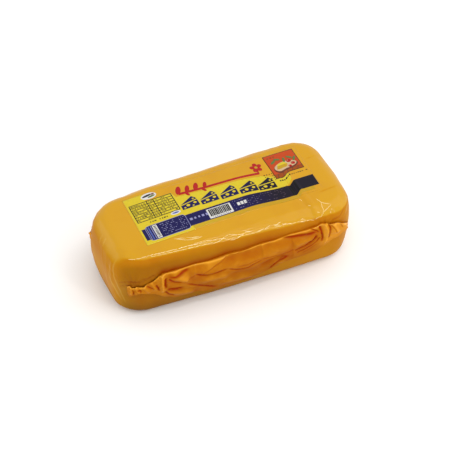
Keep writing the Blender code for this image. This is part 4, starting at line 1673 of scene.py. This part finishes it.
def front_fin() -> FilmFin:
    """The fin on the side that the camera sees.

    Returns:
        The fin.
    """
    return FilmFin(
        name="front_fin", side=Side.FRONT, seed=40,
        root=[(-150, 52), (-146, 54), (-142, 57), (-139, 54), (-136, 53.5), (-132, 56), (-128, 54.5),
              (-124, 55), (-120, 58.5), (-112, 61.5), (-106, 67), (-103, 68.5), (-80, 69.7), (-62, 71.6),
              (-45, 70.2), (-20, 72.6), (0, 71.5), (20, 74), (40, 73.6), (60, 76), (80, 74.8), (95, 75),
              (103, 77.5), (108, 76), (112, 72.5), (118, 72), (122, 71), (130, 66), (140, 58), (154, 51)],
        edge=[(-150, 44), (-146, 41), (-142, 38), (-136, 42), (-125, 44.5), (-112, 40), (-100, 32),
              (-88, 26), (-60, 24), (-33, 19.5), (10, 22), (25, 26), (40, 32), (58, 36), (90, 37),
              (112, 46), (128, 52), (140, 50), (154, 47)],
        stand=[(-150, -2), (-146, 1.5), (-142, 3.5), (-134, 3.5), (-112, 4.5), (-103, 6), (-60, 6),
               (0, 6.5), (60, 6.5), (102, 7), (112, 5.5), (140, 5), (154, -2)],
        cup=[(-150, 0), (-143, 1.5), (-112, 2), (-106, 1.5), (-102, 0), (101, 0), (107, 1), (118, 1.2),
             (134, 1.2), (142, 0.5), (154, 0)],
        paleness=[(-150, 0.12), (-112, 0.1), (-103, 0.12), (-96, 0), (40, 0), (62, -0.08), (86, -0.08),
                  (98, 0.08), (104, 0.28), (154, 0.26)],
        folds=(
            Fold((-103.5, 76), (-103, 44), 3.2, 5, 2.2),
            Fold((-92, 66), (-72, 52), 2.6, 9, 8, 4, True),
            Fold((-97, 41), (-66, 29), 2.2, 5, 8, 4, True),
            Fold((-72, 62), (-64, 44), -1.4, 7, 7, 4, True),
            Fold((-63, 80), (-63, 60), 0.8, 14, 2),
            Fold((-48, 64), (-24, 74), 1.2, 7, 7, 4, True),
            Fold((-24, 64), (34, 66), -2.0, 10, 9, 6, True),
            Fold((-54, 45), (-22, 42), 1.8, 7, 8, 5, True),
            Fold((-20, 40), (18, 38), -1.2, 7, 7, 6, True),
            Fold((-30, 30), (10, 28), 1.2, 6, 6, 6, True),
            Fold((22, 80), (22, 56), 1.0, 9, 1.6),
            Fold((62, 70), (62, 40), 1.0, 9, 1.6),
            Fold((64, 60), (88, 65), 2.0, 6, 7, 4, True),
            Fold((30, 62), (56, 60), 1.4, 8, 9, 5, True),
            Fold((20, 40), (50, 48), -2.4, 7, 6, 4, True),
            Fold((103, 82), (108, 68), 3.0, 2.6, 3.2),
            Fold((108, 70), (105, 48), 3.2, 2.4, 3.0),
            Fold((116, 73), (121, 58), 2.2, 4, 5, 4, True),
            Fold((128, 68), (135, 57), 1.8, 3, 4),
            Fold((-141, 61), (-139, 44), 1.6, 2, 2.5, 2),
            Fold((-133, 58), (-128, 47), 1.8, 2.5, 3, 2),
            Fold((-124, 58), (-117, 47), 1.6, 2.5, 3, 2),
            Fold((-116, 60), (-110, 48), 1.6, 3, 3, 3, True),
        ),
        creases=(
            Crease(((-99.5, 63), (-99, 55), (-98, 47)), 1.6, 1.7),
            Crease(((-110.5, 56), (-108, 51), (-106, 45)), 1.2, 1.1),
            Crease(((-97, 62), (-88, 62.5), (-78, 65), (-68, 67)), 0.9, 1.6, -0.6, 6, 8),
            Crease(((-96, 61), (-88, 54), (-80, 50)), 0.9, 1.4, 0.9, 8),
            Crease(((-79, 47), (-72, 51), (-65, 53), (-62, 58)), 0.6, 0.9, 0.6, 6),
            Crease(((-99, 46), (-88, 42), (-76, 39.5)), 1.3, 2.2, 0.6, 6, 8),
            Crease(((-100, 43), (-95, 37), (-88, 32)), 1.2, 1.6),
            Crease(((-76, 46), (-66, 41), (-52, 33), (-40, 27), (-33, 25)), 0.8, 1.3, -0.7, 9, 12),
            Crease(((-62, 58), (-55, 54), (-48, 52), (-34, 51.5), (-21, 53)), 1.5, 1.9, 1.6, 9, 8),
            Crease(((-21, 52), (-12, 48), (-4, 46), (4, 46), (13, 49), (22, 53)), 1.0, 1.4, 1.0, 9, 8),
            Crease(((-10, 52), (4, 52), (19, 56)), 0.4, 0.9, 0.3, 6),
            Crease(((-54, 57), (-40, 62), (-29, 67), (-22, 73), (-10, 70.5), (0, 72), (8, 76), (15, 80)),
                   0.5, 1.1, 0.9, 10),
            Crease(((22, 53), (40, 51.5), (55, 51.5), (63, 53)), 0.6, 1.0, 0.7, 8),
            Crease(((63, 51), (72, 52), (80, 54), (88, 59), (94, 65)), 1.5, 1.5, 1.2, 8),
            Crease(((80, 55), (87, 59.5), (95, 65)), 1.2, 2.2, 0, 8, 5),
            Crease(((66, 46.5), (76, 47.5), (86, 51), (93, 56), (98, 62)), 1.0, 1.1, 0.7, 4),
            Crease(((74, 43), (84, 45.5), (94, 52)), 0.5, 0.9, 0.4, 4),
            Crease(((46, 74), (58, 72.5), (75, 71), (88, 70), (97, 69.5)), 1.3, 1.9, 1.2, 5, 12),
            Crease(((70, 83), (80, 80), (89, 75), (98, 68)), 0.9, 1.0, 0.5, 5),
            Crease(((57, 46), (50, 43), (42, 39)), 1.0, 2.4, 1.0, 7, 8),
            Crease(((50, 43), (40, 37), (31, 29)), 0.8, 1.1, 1.2, 7, 6),
            Crease(((99, 76), (100.5, 68), (101, 58), (100.5, 52)), 1.6, 1.6),
            Crease(((110, 74), (112.5, 67), (110.5, 58), (109, 52)), 1.1, 1.1),
            Crease(((113, 71), (118, 64), (120, 57)), 0.6, 0.8, 0.5, 5),
            Crease(((124, 70), (127, 65), (129, 59)), 0.5, 0.8, 0.4, 4),
            Crease(((-137, 52), (-136, 47), (-137, 43)), 0.9, 0.9),
            Crease(((-129, 53), (-126, 50), (-127, 47)), 0.8, 0.9),
            Crease(((-121, 57), (-116, 53), (-112, 51)), 0.7, 0.9),
            Crease(((-121, 59), (-114, 61), (-107, 67)), 0.9, 1.1, 0.6, 4),
        ),
        gathers=(Gather((-103, 58), 16, 0.5, 11, 0.6), Gather((104, 62), 16, 0.5, 11, 1.4),
                 Gather((-134, 54), 12, 0.7, 9, 0.2)),
    )


def back_fin() -> FilmFin:
    """The fin on the far side. The photograph shows only its ear at the narrow end.

    Returns:
        The fin.
    """
    return FilmFin(
        name="back_fin", side=Side.BACK, seed=70, crumple=0.45,
        root=[(-174, 51), (-155, 57), (-128, 60), (-108, 68), (-60, 71), (-20, 70.5), (30, 73),
              (85, 72.5), (104, 70), (122, 62), (150, 52)],
        edge=[(-174, 46), (-155, 46), (-135, 44), (-112, 36), (-85, 27), (-40, 22), (0, 24), (45, 21),
              (80, 30), (108, 38), (150, 47)],
        stand=[(-174, -2), (-160, 6), (-125, 4), (-108, 6), (-50, 6.5), (40, 6.5), (85, 6),
               (104, 7), (118, 4), (138, 3), (150, -2)],
        cup=[(-174, 0), (-160, 1), (-120, 2), (-112, 1.5), (-107, 0), (101, 0), (107, 1.5), (124, 1.5),
             (138, 1), (150, 0)],
        paleness=[(-174, 0.35), (-150, 0.3), (-112, 0.15), (-104, 0), (98, 0), (106, 0.15), (150, 0.2)],
        folds=(
            Fold((-108, 72), (-106, 43), 3.2, 4, 2.4),
            Fold((-92, 66), (-72, 56), 2.4, 8, 8, 4, True),
            Fold((-74, 76), (-70, 56), 1.4, 2, 12),
            Fold((-40, 62), (0, 66), -1.8, 9, 9, 6, True),
            Fold((-60, 41), (-14, 36), 1.8, 8, 8, 5, True),
            Fold((-30, 80), (-32, 52), 1.0, 10, 1.8),
            Fold((34, 78), (36, 50), 1.0, 1.8, 10),
            Fold((70, 64), (72, 36), 0.8, 9, 1.6),
            Fold((-66, 50), (-90, 36), 1.8, 6, 8, 4, True),
            Fold((16, 42), (52, 36), 1.8, 8, 7, 5, True),
            Fold((40, 70), (78, 66), 2.2, 9, 8, 4, True),
            Fold((6, 28), (40, 26), -1.2, 6, 6, 5, True),
            Fold((104, 76), (102, 45), 3.4, 2.4, 2.4),
            Fold((112, 66), (118, 54), 2.0, 4, 4, 4, True),
            Fold((-150, 54), (-124, 53), 2.0, 3, 3),
            Fold((-164, 56), (-158, 48), 2.0, 2.5, 2.5, 2),
        ),
        creases=(
            Crease(((-102, 64), (-101, 55), (-102, 46)), 1.6, 1.7),
            Crease(((-112, 58), (-110, 52), (-111, 46)), 1.2, 1.2),
            Crease(((-99, 61), (-90, 56), (-82, 52.5)), 1.2, 2.0, 0.6, 6, 8),
            Crease(((-98, 60), (-82, 52), (-60, 48), (-38, 50), (-18, 54)), 1.3, 1.2, 1.5, 9, 22),
            Crease(((-18, 53), (0, 48), (22, 46), (44, 50), (66, 55)), 1.2, 1.6, 1.2, 9, 22),
            Crease(((-62, 62), (-44, 60), (-30, 57)), 0.7, 1.1, 0.8, 8, 12),
            Crease(((-10, 62), (14, 60), (36, 62)), 0.6, 1.0, 0.8, 8, 14),
            Crease(((64, 53), (80, 56), (97, 65)), 1.4, 1.9, 1.2, 8, 18),
            Crease(((62, 47), (80, 49), (96, 57)), 0.9, 1.1, 0.6, 5, 12),
            Crease(((-100, 44), (-90, 40), (-80, 38)), 1.2, 2.2, 0.6, 6, 8),
            Crease(((-70, 33), (-50, 30), (-30, 26)), 0.8, 1.5, 0.8, 7, 14),
            Crease(((14, 33), (34, 29), (52, 27)), 1.0, 1.4, 1.0, 7, 14),
            Crease(((-60, 60), (-34, 66), (-8, 72), (20, 70)), 0.5, 1.0, 0.9, 9, 24),
            Crease(((30, 62), (56, 66), (84, 73)), 0.8, 1.6, 0.8, 7, 20),
            Crease(((-96, 70), (-84, 67), (-70, 68)), 0.8, 1.6, 0.8, 6, 10),
            Crease(((100, 74), (98.5, 62), (99, 52)), 1.6, 1.6),
            Crease(((108, 70), (110, 60), (108, 50)), 1.3, 1.1),
            Crease(((108, 66), (116, 60), (122, 52)), 0.9, 1.0, 0.5, 5, 6),
            Crease(((-154, 56), (-148, 51), (-150, 48)), 0.6, 0.9),
            Crease(((-140, 58), (-134, 52), (-137, 47)), 0.8, 1.0),
        ),
        gathers=(Gather((-106, 58), 16, 0.5, 11, 0.9), Gather((103, 60), 16, 0.5, 11, 0.3),
                 Gather((-156, 52), 12, 0.7, 9, 1.2)),
    )


@dataclass(frozen=True)
class Lamp:
    """A rectangular light that faces the loaf. Its first size runs along X."""

    name: str
    place: tuple[float, float, float]
    size: tuple[float, float]
    energy: float

    def hang(self, aim: Vector) -> None:
        """Put the light in its place.

        Args:
            aim: the point that it is turned to.
        """
        data = bpy.data.lights.new(self.name, "AREA")
        data.shape = "RECTANGLE"
        data.size = self.size[0]
        data.size_y = self.size[1]
        data.energy = self.energy
        lamp = bpy.data.objects.new(self.name, data)
        facing = (Vector(self.place) - aim).normalized()
        rise = facing.cross(Vector((1, 0, 0))).normalized()
        aside = rise.cross(facing)
        turn = Matrix((aside, rise, facing)).transposed().to_4x4()
        lamp.matrix_world = Matrix.Translation(self.place) @ turn
        bpy.context.scene.collection.objects.link(lamp)


@dataclass(frozen=True)
class Studio:
    """A pale floor, even light, a large soft lamp on the right and the camera.

    The narrow strips give little light. They are mirrored in the tight film along its front edge.
    The camera's angles are in degrees, its lens and sensor in millimetres and the rest in metres.
    """

    azimuth: float = -25.747
    elevation: float = 47.311
    roll: float = 1.25
    distance: float = 1.8176
    lens: float = 120.0
    sensor: float = 36.0
    aim: tuple[float, float, float] = (0.0, 0.0016, 0.0435)
    offset: tuple[float, float] = (0.0062, 0.0037)
    floor_colour: str = "f7f6f4"
    floor_roughness: float = 0.9
    floor_half: float = 3.0
    world_strength: float = 0.98
    lamps: tuple[Lamp, ...] = (
        Lamp("soft_box", (1.6, -0.5, 1.8), (2.2, 2.2), 13.0),
        Lamp("left_box", (-1.7, 1.2, 0.8), (1.6, 1.2), 5.0),
        Lamp("left_strip", (0.06, -0.34, 1.2), (0.54, 0.03), 1.6),
        Lamp("middle_strip", (0.28, -0.80, 1.2), (0.28, 0.03), 0.9),
        Lamp("right_strip", (0.50, -1.34, 1.2), (0.26, 0.04), 1.3),
        Lamp("low_strip", (0.58, -1.45, 0.75), (0.04, 0.36), 1.3),
    )

    def camera(self) -> None:
        """Put the camera where the photograph was taken from."""
        azimuth = math.radians(self.azimuth)
        elevation = math.radians(self.elevation)
        roll = math.radians(self.roll)
        back = Vector((math.sin(azimuth) * math.cos(elevation), -math.cos(azimuth) * math.cos(elevation),
                       math.sin(elevation)))
        level = Vector((math.cos(azimuth), math.sin(azimuth), 0))
        rise = back.cross(level)
        right = level * math.cos(roll) + rise * math.sin(roll)
        up = rise * math.cos(roll) - level * math.sin(roll)
        eye = Vector(self.aim) + back * self.distance + right * self.offset[0] + up * self.offset[1]
        data = bpy.data.cameras.new("camera")
        data.lens = self.lens
        data.sensor_width = self.sensor
        camera = bpy.data.objects.new("camera", data)
        camera.matrix_world = Matrix((
            (right.x, up.x, back.x, eye.x), (right.y, up.y, back.y, eye.y),
            (right.z, up.z, back.z, eye.z), (0, 0, 0, 1)))
        bpy.context.scene.collection.objects.link(camera)
        bpy.context.scene.camera = camera

    def floor(self) -> None:
        """Lay the pale floor."""
        shape = bmesh.new()
        bmesh.ops.create_grid(shape, x_segments=4, y_segments=4, size=self.floor_half)
        mesh = bpy.data.meshes.new("floor")
        shape.to_mesh(mesh)
        shape.free()
        # Rolled matt emulsion paint: an even pale ground without a highlight.
        material, _, shader = new_material("matt_emulsion_paint")
        shader.inputs["Base Color"].default_value = linear(self.floor_colour)
        shader.inputs["Roughness"].default_value = self.floor_roughness
        new_piece("floor", mesh, material)

    def build(self) -> None:
        """Set up the camera, the floor, the lights and the sky."""
        self.camera()
        self.floor()
        for lamp in self.lamps:
            lamp.hang(Vector(self.aim))
        world = bpy.data.worlds.new("sky")
        world.use_nodes = True
        sky = world.node_tree.nodes["Background"]
        sky.inputs["Color"].default_value = (1, 1, 1, 1)
        sky.inputs["Strength"].default_value = self.world_strength
        bpy.context.scene.world = world
        bpy.context.scene.view_settings.view_transform = "Standard"


def main() -> None:
    """Build every piece of the wrapped loaf round the frame."""
    logging.basicConfig(level=logging.INFO, format="%(message)s")
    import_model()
    Studio().build()
    form = LoafForm()
    relief = WrapRelief()
    fins = [front_fin(), back_fin()]
    wrap = FilmWrap(form, relief, WRAP_FILM, fins).build()
    hand_over(wrap, "wrapped_loaf")
    hand_over(HighlightRidges().build(wrap, HIGHLIGHT_RIDGE_FILM), "wrapped_loaf")
    for fin in fins:
        hand_over(fin.build(form, FIN_FILM), "wrapped_loaf")
    for piece in TopLabel(form, relief).build(WRAP_FILM):
        hand_over(piece, "label")


if __name__ == "__main__":
    main()
